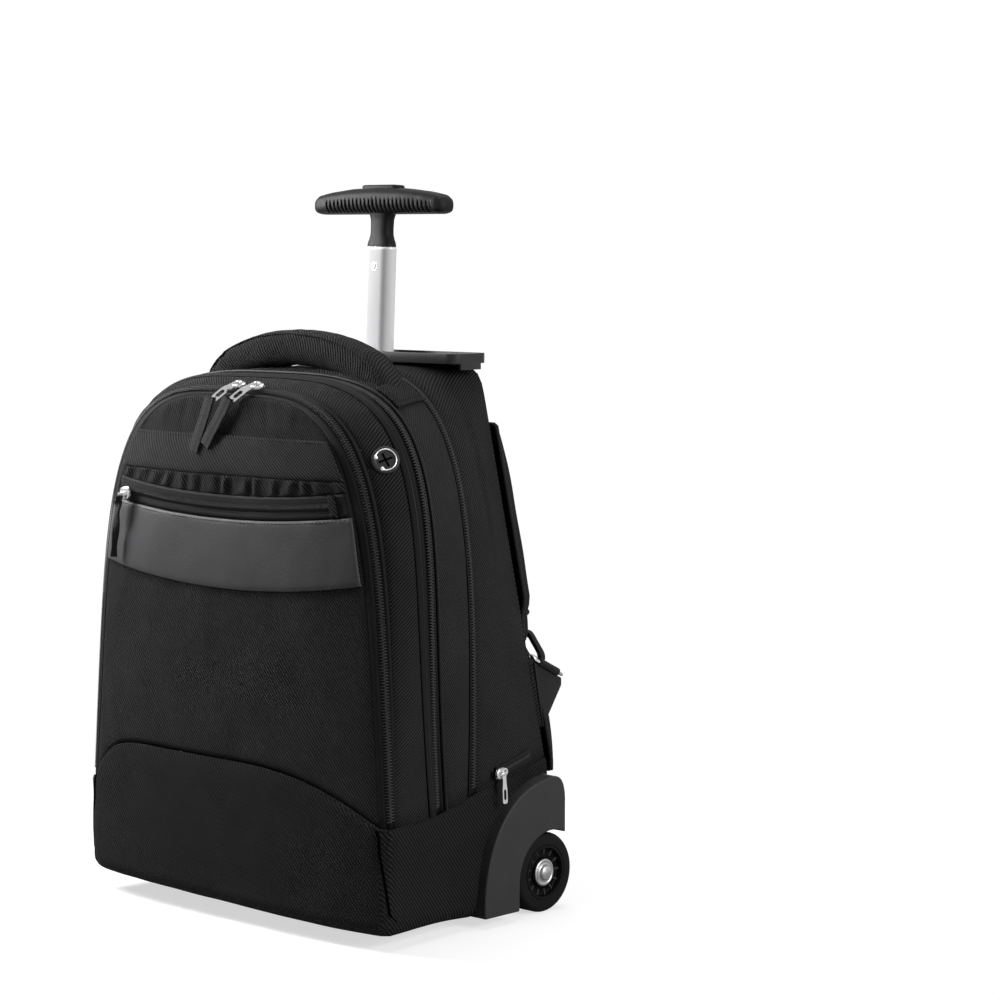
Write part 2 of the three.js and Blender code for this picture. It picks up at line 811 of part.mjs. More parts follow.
const backAt = (share, height) => rowAtHeight(rows.back, height).multiply(vec(share, 1, 1));
const backFace = (height) => rowAtHeight(rows.back, height).y + seamGap + clothWall;

function backPanel() {
  const top = bagHeight * rows.back.top;
  const low = bagHeight * rows.back.seam;
  const heights = [0, 0.2, 0.4, 0.6, 0.8, 0.93, 0.985, 0.998].map((v) => lerp(low, top, v));
  const grid = (depth) => range(7).map((k) => {
    const share = -1 + k / 3;
    return heights.map((height) => backAt(share, height).add(vec(0, depth, 0)));
  });
  return skin(grid(seamGap + clothWall), grid(seamGap));
}

// How far the pads stand out at a height: full in the middle, falling away at both ends.
function padRise(height) {
  const share = THREE.MathUtils.clamp((height - padBottom) / (padTop - padBottom), 0, 1);
  const fall = (1 - Math.abs(2 * share - 1) ** 5) ** 0.5;
  return lerp(padEdge, padThickness, fall);
}

// The pad's outer edge gives way to the ring on the side tab.
function padReach(height) {
  const notch = padNotch * Math.exp(-(((height - ringMiddle.z) / padNotchReach) ** 2));
  return rowAtHeight(rows.back, height).x - padInset - notch;
}

const padHeights = [0, 0.03, 0.12, 0.22, 0.28, 0.34, 0.42, 0.62, 0.82, 0.95, 1];

function backPad() {
  const outer = [];
  const inner = [];
  for (const u of [0, 0.03, 0.12, 0.88, 0.97, 1]) {
    const crown = (1 - Math.abs(2 * u - 1) ** 16) ** 0.5;
    const outerRow = [];
    const innerRow = [];
    for (const share of padHeights) {
      const height = lerp(padBottom, padTop, share);
      const edge = padReach(height);
      const x = lerp(padInner, edge, u);
      const face = backFace(height) + seamGap;
      innerRow.push(vec(x, face, height));
      outerRow.push(vec(x, face + lerp(padEdge, padRise(height), crown), height));
    }
    outer.push(outerRow);
    inner.push(innerRow);
  }
  return skin(outer, inner);
}

// The strap's middle line on the back: down its length, place as a share of the half width
const strapLine = [
  { down: 0, place: 0.26 },
  { down: 0.38, place: 0.28 },
  { down: 0.72, place: 0.33 },
  { down: 0.9, place: 0.4 },
  { down: 1, place: 0.46 },
];
const strapPath = new THREE.CatmullRomCurve3(strapLine.map((row) => vec(
  halfWidth * row.place, 0, lerp(strapTop, strapBottom, row.down))));

// The strap runs flat over the pad and eases down past the pad's upper edge.
const strapEase = 15;
const strapSeat = (height) => backFace(height) + seamGap + strapRest
  + (height - strapEase > padTop ? 0 : padRise(height - strapEase));
const strapEnd = strapPath.getPoint(1);
const strapWay = strapPath.getTangent(1);

function strapPad() {
  const outer = [];
  const inner = [];
  for (const u of [-1, -0.84, 0.84, 1]) {
    const crown = Math.abs(u) === 1 ? 0.3 : 1;
    const outerRow = [];
    const innerRow = [];
    for (const k of range(13)) {
      const point = strapPath.getPoint(k / 12);
      const across = strapPath.getTangent(k / 12).cross(vec(0, 1, 0)).normalize();
      const narrow = lerp(1, 0.5, Math.max(k - 10, 0) / 2);
      point.addScaledVector(across, -u * narrow * strapWidth / 2);
      const y = strapSeat(point.z);
      innerRow.push(vec(point.x, y, point.z));
      outerRow.push(vec(point.x, y + strapThickness * crown, point.z));
    }
    outer.push(outerRow);
    inner.push(innerRow);
  }
  return skin(outer, inner);
}

// The strap's lower hardware lies on a line from the strap's end to the ring on the side tab
const tabHeight = 0.454;
const tabRoot = rowAtHeight(rows.back, bagHeight * tabHeight);
const tabLoopStart = vec(tabRoot.x + 4, tabRoot.y + 4, tabRoot.z - 1);
const tabLoopEnd = vec(tabRoot.x + 4, tabRoot.y + 37, tabRoot.z - 17);
const tabFoot = rowAtHeight(rows.back, bagHeight * 0.33);
const ringBar = tabLoopEnd.clone().sub(tabLoopStart).normalize();
const ringOut = vec(-0.93, 0, 0).addScaledVector(vec(0, 1, 0), -0.37 * ringBar.z)
  .addScaledVector(vec(0, 0, 1), 0.37 * ringBar.y).normalize();
const ringMiddle = mix(tabLoopStart, tabLoopEnd, 0.52);

const lockSpace = 4;
const hardwareStart = vec(strapEnd.x, strapSeat(strapEnd.z) + strapThickness / 2, strapEnd.z)
  .addScaledVector(strapWay, lockSpace + lockHeight / 2);
const hardwareEnd = ringMiddle.clone().addScaledVector(ringOut, ringReach);
const hardwareWay = hardwareEnd.clone().sub(hardwareStart);
const hardwareReach = hardwareWay.length();

// Places a piece drawn along +X, flat in X-Y, on the hardware line.
function onHardwareLine(geometry, distance) {
  const along = hardwareWay.clone().normalize();
  const across = vec(0, 1, 0).cross(along).normalize();
  const out = along.clone().cross(across);
  return geometry.clone()
    .applyMatrix4(new THREE.Matrix4().makeBasis(along, across, out))
    .translate(...hardwareStart.clone().addScaledVector(along, distance).toArray());
}

function ladderLock() {
  const frame = upright(
    roundedRectangle(-lockHeight / 2, -lockWidth / 2, lockHeight / 2, lockWidth / 2, 3),
    -lockThickness / 2, lockThickness / 2, 2);
  const slotLength = (lockHeight - 3 * lockBar) / 2;
  const slots = [-1, 1].map((side) => new THREE.BoxGeometry(
    slotLength, webbingWidth + 2, lockThickness * 2)
    .translate(side * (slotLength + lockBar) / 2, 0, 0));
  return onHardwareLine(cutAway(frame, ...slots), 0);
}

const lockEndBar = lockHeight / 2 - lockBar / 2;
const hookStart = hardwareReach - hookLength;
const hookEye = 9;
const hookBar = 3;

// A loop of webbing around two bars on the hardware line, closed like a belt.
function webbingBelt(from, to) {
  const half = Math.max(lockThickness, hookThickness) / 2 + seamGap;
  const outline = (radius, Kind) => {
    const belt = new Kind();
    belt.moveTo(from + half, -radius);
    belt.lineTo(to - half, -radius);
    belt.absarc(to - half, 0, radius, -Math.PI / 2, Math.PI / 2, false);
    belt.lineTo(from + half, radius);
    belt.absarc(from + half, 0, radius, Math.PI / 2, Math.PI * 1.5, false);
    return belt;
  };
  const shape = outline(half + webbingWall, THREE.Shape);
  shape.holes.push(outline(half, THREE.Path));
  const loop = new THREE.ExtrudeGeometry(
    shape, { depth: webbingWidth - 1, bevelEnabled: false, curveSegments: 3 })
    .translate(0, 0, -(webbingWidth - 1) / 2)
    .rotateX(Math.PI / 2);
  return onHardwareLine(loop, 0);
}

const webbingLoop = () => webbingBelt(
  lockEndBar - lockBar / 2 - seamGap - webbingWall, hookStart + hookBar + seamGap + webbingWall);

// The padded strap with the webbing loop that holds the ladder lock's upper bar.
const shoulderStrap = () => joined(strapPad(), webbingBelt(
  -lockEndBar - lockSpace - 8, -lockEndBar + lockBar / 2 + seamGap + webbingWall));

// A swivel hook: a wide eye for the webbing, a neck and a closed hook.
function snapHook() {
  const eyeHalf = webbingWidth / 2 + 1;
  const eye = roundedRectangle(0, -eyeHalf - hookBar, hookEye, eyeHalf + hookBar, 2);
  const eyeHole = new THREE.Path();
  eyeHole.moveTo(hookBar, -eyeHalf);
  eyeHole.lineTo(hookEye - hookBar + 0.6, -eyeHalf);
  eyeHole.lineTo(hookEye - hookBar + 0.6, eyeHalf);
  eyeHole.lineTo(hookBar, eyeHalf);
  eye.holes.push(eyeHole);
  const neck = roundedRectangle(hookEye - 1, -4.5, hookEye + 9, 4.5, 1);
  const from = hookEye + 8;
  const claw = roundedRectangle(from, -9, hookLength + 8, 9, 8);
  claw.holes.push(roundEndedAt(from + 4, hookLength + ringWire + 2.6, 5.2));
  const pieces = [eye, neck, claw].map((shape) => upright(
    shape, -hookThickness / 2, hookThickness / 2, 2));
  return onHardwareLine(joined(...pieces), hookStart);
}

function roundEndedAt(from, to, radius) {
  const hole = new THREE.Path();
  hole.moveTo(from + radius, -radius);
  hole.lineTo(to - radius, -radius);
  hole.absarc(to - radius, 0, radius, -Math.PI / 2, Math.PI / 2, false);
  hole.lineTo(from + radius, radius);
  hole.absarc(from + radius, 0, radius, Math.PI / 2, Math.PI * 1.5, false);
  return hole;
}

// The ring's straight bar lies in the tab's sleeve and its bow reaches to the hook. The wire
// is mitred where it turns.
function tabRing() {
  const half = tabLoopEnd.distanceTo(tabLoopStart) / 2 - ringWire;
  const path = range(9).map((k) => {
    const turn = (k / 8) * Math.PI;
    return ringMiddle.clone()
      .addScaledVector(ringBar, Math.cos(turn) * half)
      .addScaledVector(ringOut, Math.sin(turn) * ringReach);
  });
  const side = ringBar.clone().cross(ringOut).normalize();
  const rings = path.map((centre, k) => {
    const before = centre.clone().sub(path.at(k - 1)).normalize();
    const after = path[(k + 1) % path.length].clone().sub(centre).normalize();
    const way = before.clone().add(after).normalize();
    const across = way.clone().cross(side).divideScalar(way.dot(before));
    return roundSection(ringWire, 6).map(([a, b]) => centre.clone()
      .addScaledVector(across, a).addScaledVector(side, b));
  });
  return loft(rings, true);
}

function tabCloth() {
  const foot = vec(tabFoot.x + 2, tabFoot.y + 3, tabFoot.z);
  const drop = vec(0, 0, -ringWire - seamGap - 0.9);
  const root = tabLoopStart.clone().add(drop);
  const tip = tabLoopEnd.clone().add(drop);
  const outline = [root, tip, tip.clone().add(vec(0, 0, -6)), foot];
  const outer = [[outline[0], outline[1]], [outline[3], outline[2]]];
  const shift = (p) => p.clone().add(vec(-tabWall, 0, 0));
  return skin(outer, outer.map((line) => line.map(shift)));
}

// The triangular tab with the sleeve around the ring's bar
function sideTab() {
  const outer = ringWire + seamGap + webbingWall;
  const line = new THREE.LineCurve3(
    mix(tabLoopStart, tabLoopEnd, 0.16), mix(tabLoopStart, tabLoopEnd, 0.84));
  const ring = (radius, share) => roundSection(radius, 8).map(([a, b]) => {
    const up = vec(1, 0, 0).cross(ringBar);
    return line.getPoint(share).add(vec(a, 0, 0)).addScaledVector(up, b);
  });
  const bore = ringWire + seamGap + 0.2;
  const sleeve = loft([ring(outer, 0), ring(outer, 1), ring(bore, 1), ring(bore, 0)], true);
  return joined(sleeve, tabCloth());
}

// Small fittings

// A frame on a zip at a place: along the zip, across it and out of the bag.
function zipFrame(row, before, after, along) {
  const step = 0.005;
  const tangent = archPoint(row, along + step).sub(archPoint(row, along - step)).normalize();
  const across = archPoint(after, along).sub(archPoint(before, along)).normalize();
  const out = tangent.clone().cross(across).normalize();
  return { point: archPoint(row, along), tangent, across: out.clone().cross(tangent), out };
}

// The place along a zip's arch where its half width is a given value.
function alongAt(row, x) {
  const arch = Math.abs(x) / (halfWidth * row.shoulder);
  return Math.sign(x) * (1 - (1 - arch ** row.corner) ** (1 / row.flat)) ** (1 / 3);
}

const placed = (geometry, { point, tangent, across, out }, lift) => geometry.clone()
  .applyMatrix4(new THREE.Matrix4().makeBasis(tangent, across, out))
  .translate(...point.clone().addScaledVector(out, lift).toArray());

// A zip slider: a flat body with a bridge for its pull.
function slider() {
  const [long, wide] = [sliderLength / 2, sliderWidth / 2];
  const body = upright(roundedRectangle(-long, -wide, long, wide, wide * 0.5), 0, sliderBody, 1);
  const bridge = new THREE.BoxGeometry(sliderLength * 0.55, sliderWidth * 0.28, sliderHeight)
    .translate(0, 0, sliderHeight / 2);
  return joined(body, bridge);
}

// A flat pull through a few points.
function pull(points, sideways, width, wall) {
  const curve = new THREE.CatmullRomCurve3(points);
  const [a, b] = [width / 2, wall / 2];
  return sweep(curve, 4, sideways, () => [[-a, -b], [a, -b], [a, b], [-a, b]]);
}

// The cable port: a rubber disc with a crossed slot.
function cablePort() {
  const height = bagHeight * 0.83;
  const share = 0.505;
  const [front, rear] = [rowAtHeight(rows.frontZip, height), rowAtHeight(rows.middleZip, height)];
  const point = mix(front, rear, share);
  const across = rear.clone().sub(front).normalize();
  const rise = mix(
    rowAtHeight(rows.frontZip, height + 5), rowAtHeight(rows.middleZip, height + 5), share)
    .sub(mix(rowAtHeight(rows.frontZip, height - 5), rowAtHeight(rows.middleZip, height - 5), share));
  const out = across.clone().cross(rise).normalize();
  const tangent = across.clone().cross(out).normalize();
  const disc = new THREE.CylinderGeometry(portRadius, portRadius, portDepth * 3, 20)
    .rotateX(Math.PI / 2).translate(0, 0, -portDepth / 2);
  const slots = [0, 1].map((turn) => new THREE.BoxGeometry(
    portRadius * 1.2, portSlotWidth, portDepth * 2)
    .rotateZ((turn / 2 + 0.11) * Math.PI).translate(0, 0, portDepth * 1.6));
  return placed(cutAway(disc, ...slots), { point, tangent, across, out }, gussetPuff);
}

// A point of the side behind the rear zip, at a share of the way to the back.
function sidePoint(share, height, lift) {
  const [front, rear] = [rowAtHeight(rows.rearZip, height), rowAtHeight(rows.back, height)];
  const way = rear.clone().sub(front).normalize();
  const out = vec(way.y, -way.x, 0);
  const puff = sidePuff * 4 * share * (1 - share);
  return mix(front, rear, share).addScaledVector(out, puff + lift);
}

const pocketLine = (share) => bagHeight * lerp(0.258, 0.3, share);
const pocketHalf = 5;

function sidePocketZip() {
  const grid = (lift) => [0.25, 0.5, 0.75].map((share) => [-1, 0, 1].map((edge) => sidePoint(
    share, pocketLine(share) + edge * pocketHalf, lift + (edge === 0 && lift > 1 ? coilHeight : 0))));
  return skin(grid(skinWall + 0.5), grid(0.5));
}

function sidePocketSlider() {
  const share = 0.28;
  const height = pocketLine(share);
  const point = sidePoint(share, height, 0.5 + skinWall + coilHeight + seamGap);
  const ahead = sidePoint(share + 0.1, pocketLine(share + 0.1), 0.5 + skinWall + coilHeight + seamGap);
  const tangent = ahead.sub(point).normalize();
  const across = vec(0, 0, 1).addScaledVector(tangent, -tangent.z).normalize();
  const out = tangent.clone().cross(across).multiplyScalar(1);
  const body = placed(slider(), { point, tangent, across, out }, 0);
  const hang = point.clone().addScaledVector(out, sliderHeight - 1);
  const puller = pull(
    [hang, hang.clone().add(vec(0.6, 0, -12)), hang.clone().add(vec(1.2, 0, -metalPullLength))],
    vec(0, 1, 0), pullWidth * 0.6, pullWall);
  return joined(body, puller);
}

// Assembly of the cloth body

const { panelSeam, frontZip, middleZip, rearZip, back } = rows;
const pipingPlace = middleTapeWidth + seamGap + pipingRadius;
const pipedEdge = pipingPlace + pipingRadius + seamGap;

const rowLine = (row) => (along) => archPoint(row, along);
const raised = (profile) => profile.map(([place, proud]) => [place, proud + seamGap]);
const seatDepth = bagHeight * 0.1;
const frontGussetLines = [
  beside(frontZip, middleZip, frontTapeWidth + seamGap), beside(middleZip, frontZip, pipedEdge)];
const middleGussetLines = [
  beside(middleZip, rearZip, pipedEdge), beside(rearZip, middleZip, rearTapeWidth + seamGap)];

add('front_panel', frontPanel(), finishes.twill);
add('zip_front', strip(
  [beside(panelSeam, frontZip, seamGap), rowLine(frontZip),
    beside(frontZip, middleZip, frontTapeWidth)],
  coilProfile(0), clothWall), finishes.zipTape);
add('front_gusset', strip(frontGussetLines, puffed(gussetPuff), clothWall), finishes.twill);
add('zip_middle', strip(
  [beside(middleZip, frontZip, middleTapeWidth), rowLine(middleZip),
    beside(middleZip, rearZip, middleTapeWidth)],
  coilProfile(middleZipSink), clothWall), finishes.zipTape);
add('middle_gusset', strip(middleGussetLines, puffed(gussetPuff), clothWall), finishes.twill);
add('zip_rear', strip(
  [beside(rearZip, middleZip, rearTapeWidth), rowLine(rearZip),
    beside(rearZip, back, rearTapeWidth)],
  coilProfile(0), clothWall), finishes.zipTape);

const sideSwell = (along) => Math.min(Math.abs(along) * 1.4, 1) ** 2;
add('rear_section', cutAway(
  strip(
    [beside(rearZip, back, rearTapeWidth + seamGap), rowLine(back)],
    puffed(sidePuff), clothWall, sideSwell),
  poleHole(2, plateHoleGap, -40, 20), housingPocket, mirrored(housingPocket)), finishes.twill);
add('back_panel', backPanel(), finishes.twill);

for (const [name, neighbour] of [['piping_front', frontZip], ['piping_rear', rearZip]]) {
  const line = beside(middleZip, neighbour, pipingPlace);
  const rings = range(archSteps + 1).map((k) => {
    const along = -1 + (2 * k) / archSteps;
    const [low, high] = [Math.max(along - 0.01, -1), Math.min(along + 0.01, 1)];
    const across = line(along).sub(archPoint(middleZip, along)).normalize();
    const tangent = line(high).sub(line(low));
    const outward = tangent.cross(across).normalize()
      .multiplyScalar(neighbour === rearZip ? 1 : -1);
    return roundSection(pipingRadius, 5).map(([a, b]) => line(along)
      .addScaledVector(outward, a + pipingProud).addScaledVector(across, b));
  });
  add(name, loft(rings), finishes.piping);
}

add('base_boot', cutAway(baseBoot(), housingPocket, mirrored(housingPocket)), finishes.baseTwill);

// Bands on the front face

const pleats = (share, up) => 0.7 * Math.cos(share * 26) * Math.sin(up * Math.PI);
add('upper_band', frontBand(frontBands.upper, skinWall, 12), finishes.baseTwill);
add('pleated_band', frontBand(frontBands.pleated, skinWall, 24, pleats), finishes.twill);
add('pocket_zip', frontBand(frontBands.pocket, skinWall, 12,
  (share, up) => (up === 0.5 ? coilHeight : 0)), finishes.zipTape);
add('leather_band', frontBand(frontBands.leather, leatherWall, 12), finishes.leather);

// Sliders, pulls and the cable port

// Each slider of the front zip has a flat metal pull towards the left, which holds a webbing
// pull that hangs down the front face.
const sliderLift = coilHeight + seamGap;
const frontSliders = [
  { name: 'front_slider_left', x: 6, ringX: -15, endX: -33, drop: 43 },
  { name: 'front_slider_right', x: 27, ringX: 6, endX: -20, drop: 38 },
];
for (const { name, x, ringX, endX, drop } of frontSliders) {
  const frame = zipFrame(frontZip, panelSeam, middleZip, alongAt(frontZip, x));
  const seamTop = bagHeight * panelSeam.top;
  const start = frame.point.clone().addScaledVector(frame.out, sliderLift + sliderHeight - 1);
  const ring = vec(ringX, frontPoint(0, seamTop).y - sliderHeight, seamTop - 3);
  const metal = pull([start, mix(start, ring, 0.5).add(vec(0, -1, 0.8)), ring],
    vec(0, -0.35, 0.94), pullWidth * 0.7, pullWall);
  add(name, joined(placed(slider(), frame, sliderLift), metal), finishes.steel);
  const clear = skinWall + 2 * seamGap + pullWall;
  const onFace = (share, out) => {
    const height = ring.z + 1 - drop * share;
    return vec(
      lerp(ringX - 2, endX, share), frontPoint(0, height).y - out, height);
  };
  add(`${name}_pull`, pull(
    [vec(ringX - 2, ring.y - pullWall - seamGap, ring.z + 1), onFace(0.3, clear + 1),
      onFace(0.65, clear), onFace(1, clear)],
    vec(1, 0, 0), pullWidth, pullWall), finishes.webbing);
}

const pocketShare = -0.86;
const pocketHeight = bagHeight * 0.746;
const pocketPoint = frontPoint(pocketShare, pocketHeight, seamGap * 3 + skinWall + coilHeight);
const pocketWay = frontPoint(pocketShare + 0.05, pocketHeight)
  .sub(frontPoint(pocketShare - 0.05, pocketHeight)).normalize();
const pocketFrame = {
  point: pocketPoint,
  tangent: pocketWay,
  across: vec(0, 0, 1),
  out: pocketWay.clone().cross(vec(0, 0, 1)),
};
add('pocket_slider', placed(slider(), pocketFrame, 0), finishes.steel);
add('pocket_slider_pull', pull(
  [[-2, sliderHeight + 1.4, 0], [-5, sliderHeight + 1, 14], [-12, sliderHeight, pullLength * 1.2]]
    .map(([x, out, drop]) => pocketPoint.clone().add(vec(x, -out, -drop))),
  vec(1, 0, 0), pullWidth, pullWall), finishes.webbing);
add('rear_slider', placed(
  slider(), zipFrame(rearZip, middleZip, back, alongAt(rearZip, 6)), sliderLift), finishes.steel);
add('cable_port', cutAway(
  cablePort(), strip(frontGussetLines, raised(puffed(gussetPuff)), seatDepth)), finishes.rubber);
addPair('side_pocket_zip', sidePocketZip(), finishes.zipTape);
addPair('side_pocket_slider', sidePocketSlider(), finishes.steel);

// Grab handle, plate, pole and grip

const handleSeat = strip(
  [middleGussetLines[0], beside(rearZip, middleZip, rearTapeWidth)],
  raised(puffed(gussetPuff)), seatDepth);
add('grab_handle', grabHandle(handleSeat), finishes.twill);
add('top_plate', topPlate(), finishes.plastic);
add('outer_tube', stageTube(2, boxFloor, tubeTopStop), finishes.aluminium, pole);
add('middle_tube', stageTube(1, stageFoot, tubeTopStop), finishes.aluminium, pole);
add('inner_tube', cutAway(
  stageTube(0, poleTop - innerTubeLength, poleTop), pinHole(rivetRadius + seamGap)),
finishes.aluminium, pole);
add('tube_rivet', rivet(), finishes.steel, pole);
add('grip', gripBody(), finishes.softPlastic, pole);
add('grip_button', buttonBlock(0, 0, buttonProud + 1), finishes.softPlastic, pole);

// Wheels

addPair('wheel_housing', wheelHousing(), finishes.plastic);
addPair('tyre', tyre(), finishes.rubber);
addPair('wheel_core', wheelCore(), finishes.softPlastic);
addPair('axle', axle(), finishes.steel);
add('front_foot', upright(
  roundEnded(2 * footHalfLength, footWidth), 0, groundClearance - seamGap)
  .translate(0, footPlace, 0), finishes.plastic);

// Back

addPair('back_pad', backPad(), finishes.mesh);
addPair('shoulder_strap', shoulderStrap(), finishes.twill);
addPair('ladder_lock', ladderLock(), finishes.softPlastic);
addPair('strap_webbing', webbingLoop(), finishes.webbing);
addPair('snap_hook', snapHook(), finishes.softPlastic);
addPair('tab_ring', tabRing(), finishes.steel);
addPair('side_tab', sideTab(), finishes.twill);

// The whole stands centred over the origin, on the floor.
backpack.updateMatrixWorld(true);
const extent = new THREE.Box3().setFromObject(backpack, true);
backpack.position.set(0, -(extent.min.y + extent.max.y) / 2, -extent.min.z);

export default backpack;
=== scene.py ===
"""A wheeled backpack: cloth, zips, handles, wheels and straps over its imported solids."""

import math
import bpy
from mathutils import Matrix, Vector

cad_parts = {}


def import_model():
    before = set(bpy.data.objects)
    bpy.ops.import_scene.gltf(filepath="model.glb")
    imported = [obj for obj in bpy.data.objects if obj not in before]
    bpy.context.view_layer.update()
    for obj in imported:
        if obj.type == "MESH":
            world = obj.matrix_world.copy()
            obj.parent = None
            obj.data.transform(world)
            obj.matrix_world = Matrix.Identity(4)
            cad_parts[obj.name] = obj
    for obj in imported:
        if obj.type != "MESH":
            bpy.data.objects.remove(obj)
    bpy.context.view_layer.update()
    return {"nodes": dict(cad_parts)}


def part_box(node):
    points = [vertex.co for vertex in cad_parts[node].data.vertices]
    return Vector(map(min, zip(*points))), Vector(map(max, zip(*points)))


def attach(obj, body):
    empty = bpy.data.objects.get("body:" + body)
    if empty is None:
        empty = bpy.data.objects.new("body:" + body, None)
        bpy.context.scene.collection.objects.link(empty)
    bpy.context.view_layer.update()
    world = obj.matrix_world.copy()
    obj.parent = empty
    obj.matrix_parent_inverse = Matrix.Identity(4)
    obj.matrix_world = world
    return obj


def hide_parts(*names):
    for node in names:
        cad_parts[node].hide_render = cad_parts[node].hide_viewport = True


bl_info = {
    "name": "Wheeled backpack",
    "version": (1, 0, 0),
    "blender": (4, 5, 0),
    "location": "View3D > Sidebar > Backpack",
    "description": "Builds the cloth, zips, pull handle, wheels and straps of a wheeled backpack",
    "category": "Object",
}

import bmesh
import bpy
from bpy.props import FloatProperty, FloatVectorProperty, PointerProperty
from mathutils import Matrix, Vector, noise

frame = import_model()

# The shapes below are worked out in millimetres from the foot of the pull handle's pole, as the
# solids are. DEPTH_SHIFT brings them to the row frame, where the pieces are in metres.
AXLE_BACK = 20.0
_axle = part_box("tyre_right")
DEPTH_SHIFT = (_axle[0].y + _axle[1].y) * 500 - AXLE_BACK


def world(point):
    """A point of the row frame, in metres, from one in millimetres from the pole's foot."""
    return Vector((point[0], point[1] + DEPTH_SHIFT, point[2])) / 1000


def lerp(a, b, share):
    return a + (b - a) * share


def clamp(value, low=0.0, high=1.0):
    return max(low, min(high, value))


def smooth(value):
    value = clamp(value)
    return value * value * (3 - 2 * value)


def spread(count):
    """count + 1 shares from 0 to 1."""
    return [k / count for k in range(count + 1)]


# Sizes and colours

def length_prop(name, description, default):
    return FloatProperty(
        name=name, description=description, default=default, min=0.0, unit="LENGTH", subtype="DISTANCE")


def colour_prop(name, description, default):
    return FloatVectorProperty(
        name=name, description=description, default=default, size=3, min=0.0, max=1.0, subtype="COLOR")


class BackpackSizes(bpy.types.PropertyGroup):
    """Sizes of the bag's cloth and trim"""

    bag_height: length_prop("Bag height", "Height of the top plate over the floor", 0.45)
    bag_width: length_prop("Bag width", "Width of the bag at the base seam", 0.35)
    bag_depth: length_prop("Bag depth", "Depth from the back plane to the front seam", 0.196)
    front_bulge: length_prop("Front bulge", "How far the front face swells", 0.009)
    gusset_puff: length_prop("Gusset puff", "How far the strips between the zips swell", 0.0022)
    side_puff: length_prop("Side puff", "How far the sides behind the rear zip swell", 0.004)
    weave_pitch: length_prop("Twill pitch", "Distance between the ribs of the twill", 0.0023)
    stitch_length: length_prop("Stitch length", "Length of one stitch", 0.0024)


class BackpackColours(bpy.types.PropertyGroup):
    """Colours of the bag's cloth, plastic and metal"""

    twill: colour_prop("Twill", "Main cloth", (0.036, 0.036, 0.0372))
    heavy_twill: colour_prop("Heavy twill", "Cloth of the base and the upper band", (0.034, 0.034, 0.0352))
    leather: colour_prop("Leather", "Smooth band of the front pocket", (0.05, 0.05, 0.052))
    tape: colour_prop("Zip tape", "Woven tape of the zips", (0.009, 0.009, 0.0095))
    # The teeth's own dark plastic, brightened over the tape as painted highlight
    coil: colour_prop("Zip coil", "Teeth of the zips", (0.034, 0.034, 0.035))
    piping: colour_prop("Piping", "Piping beside the middle zip", (0.007, 0.007, 0.0075))
    plastic: colour_prop("Plastic", "Wheel housings, plate and foot", (0.030, 0.030, 0.0315))
    soft_plastic: colour_prop("Soft plastic", "Grip, hooks, locks and wheel centres", (0.011, 0.011, 0.0115))
    tyre: colour_prop("Tyre", "Tyres", (0.007, 0.007, 0.0075))
    mesh: colour_prop("Air mesh", "Back pads", (0.009, 0.009, 0.0095))
    metal: colour_prop("Metal", "Sliders, pulls, rings and axles", (0.6, 0.6, 0.61))
    tube: colour_prop("Tube", "Pull handle tube", (0.8, 0.8, 0.81))


def sizes():
    return bpy.context.scene.backpack_sizes


def colours():
    return bpy.context.scene.backpack_colours


# Lines around the bag: shares of its depth, half width and height, as in the solids

ROWS = {
    "panel_seam": dict(deep_low=1, deep_top=0.985, bow=0, foot=0.96, low=0.949, shoulder=0.806,
                       seam=0.212, top=0.931, flat=5, corner=3.5),
    "front_zip": dict(deep_low=0.975, deep_top=0.96, bow=0, foot=0.983, low=0.997, shoulder=0.874,
                      seam=0.212, top=0.943, flat=5, corner=3.5),
    "middle_zip": dict(deep_low=0.673, deep_top=0.77, bow=0.037, foot=0.955, low=0.959,
                       shoulder=1.088, seam=0.217, top=0.966, flat=5, corner=3.5),
    "rear_zip": dict(deep_low=0.459, deep_top=0.398, bow=-0.028, foot=0.94, low=0.943,
                     shoulder=0.812, seam=0.238, top=0.973, flat=5, corner=3.5),
    "back": dict(deep_low=0, deep_top=0.064, bow=0, foot=0.93, low=0.906, shoulder=0.563,
                 seam=0.278, top=0.9816, flat=60, corner=6),
}
ROW_ORDER = list(ROWS)
BACK_PLANE = 28.0
FRONT_ARCH_RISE = 35.0
GROUND_CLEARANCE = 9.0
BOTTOM_ROUNDING = 11.0

# Bands across the front panel: shares of the bag's height at the middle and at the side seams
FRONT_BANDS = {
    "upper": dict(low_middle=0.793, low_side=0.795, high_middle=0.862, high_side=0.862),
    "pleated": dict(low_middle=0.76, low_side=0.778, high_middle=0.792, high_side=0.794),
    "pocket": dict(low_middle=0.718, low_side=0.738, high_middle=0.758, high_side=0.776),
    "leather": dict(low_middle=0.594, low_side=0.622, high_middle=0.716, high_side=0.736),
}


def height_mm():
    return sizes().bag_height * 1000


def half_width_mm():
    return sizes().bag_width * 500


def depth_mm():
    return sizes().bag_depth * 1000


def row_point(name, rise):
    row = ROWS[name]
    up = max(rise, 0.0)
    arch = max(1 - up ** row["flat"], 0.0) ** (1 / row["corner"])
    deep = lerp(row["deep_low"], row["deep_top"], up) + row["bow"] * 4 * up * (1 - up)
    return Vector((
        half_width_mm() * lerp(row["low"], row["shoulder"], up) * arch,
        BACK_PLANE - depth_mm() * deep,
        height_mm() * lerp(row["seam"], row["top"], rise)))


def row_at_height(name, height):
    row = ROWS[name]
    seam = height_mm() * row["seam"]
    if height >= seam:
        return row_point(name, (height - seam) / (height_mm() * row["top"] - seam))
    point = row_point(name, 0)
    return Vector((half_width_mm() * lerp(row["foot"], row["low"], height / seam), point.y, height))


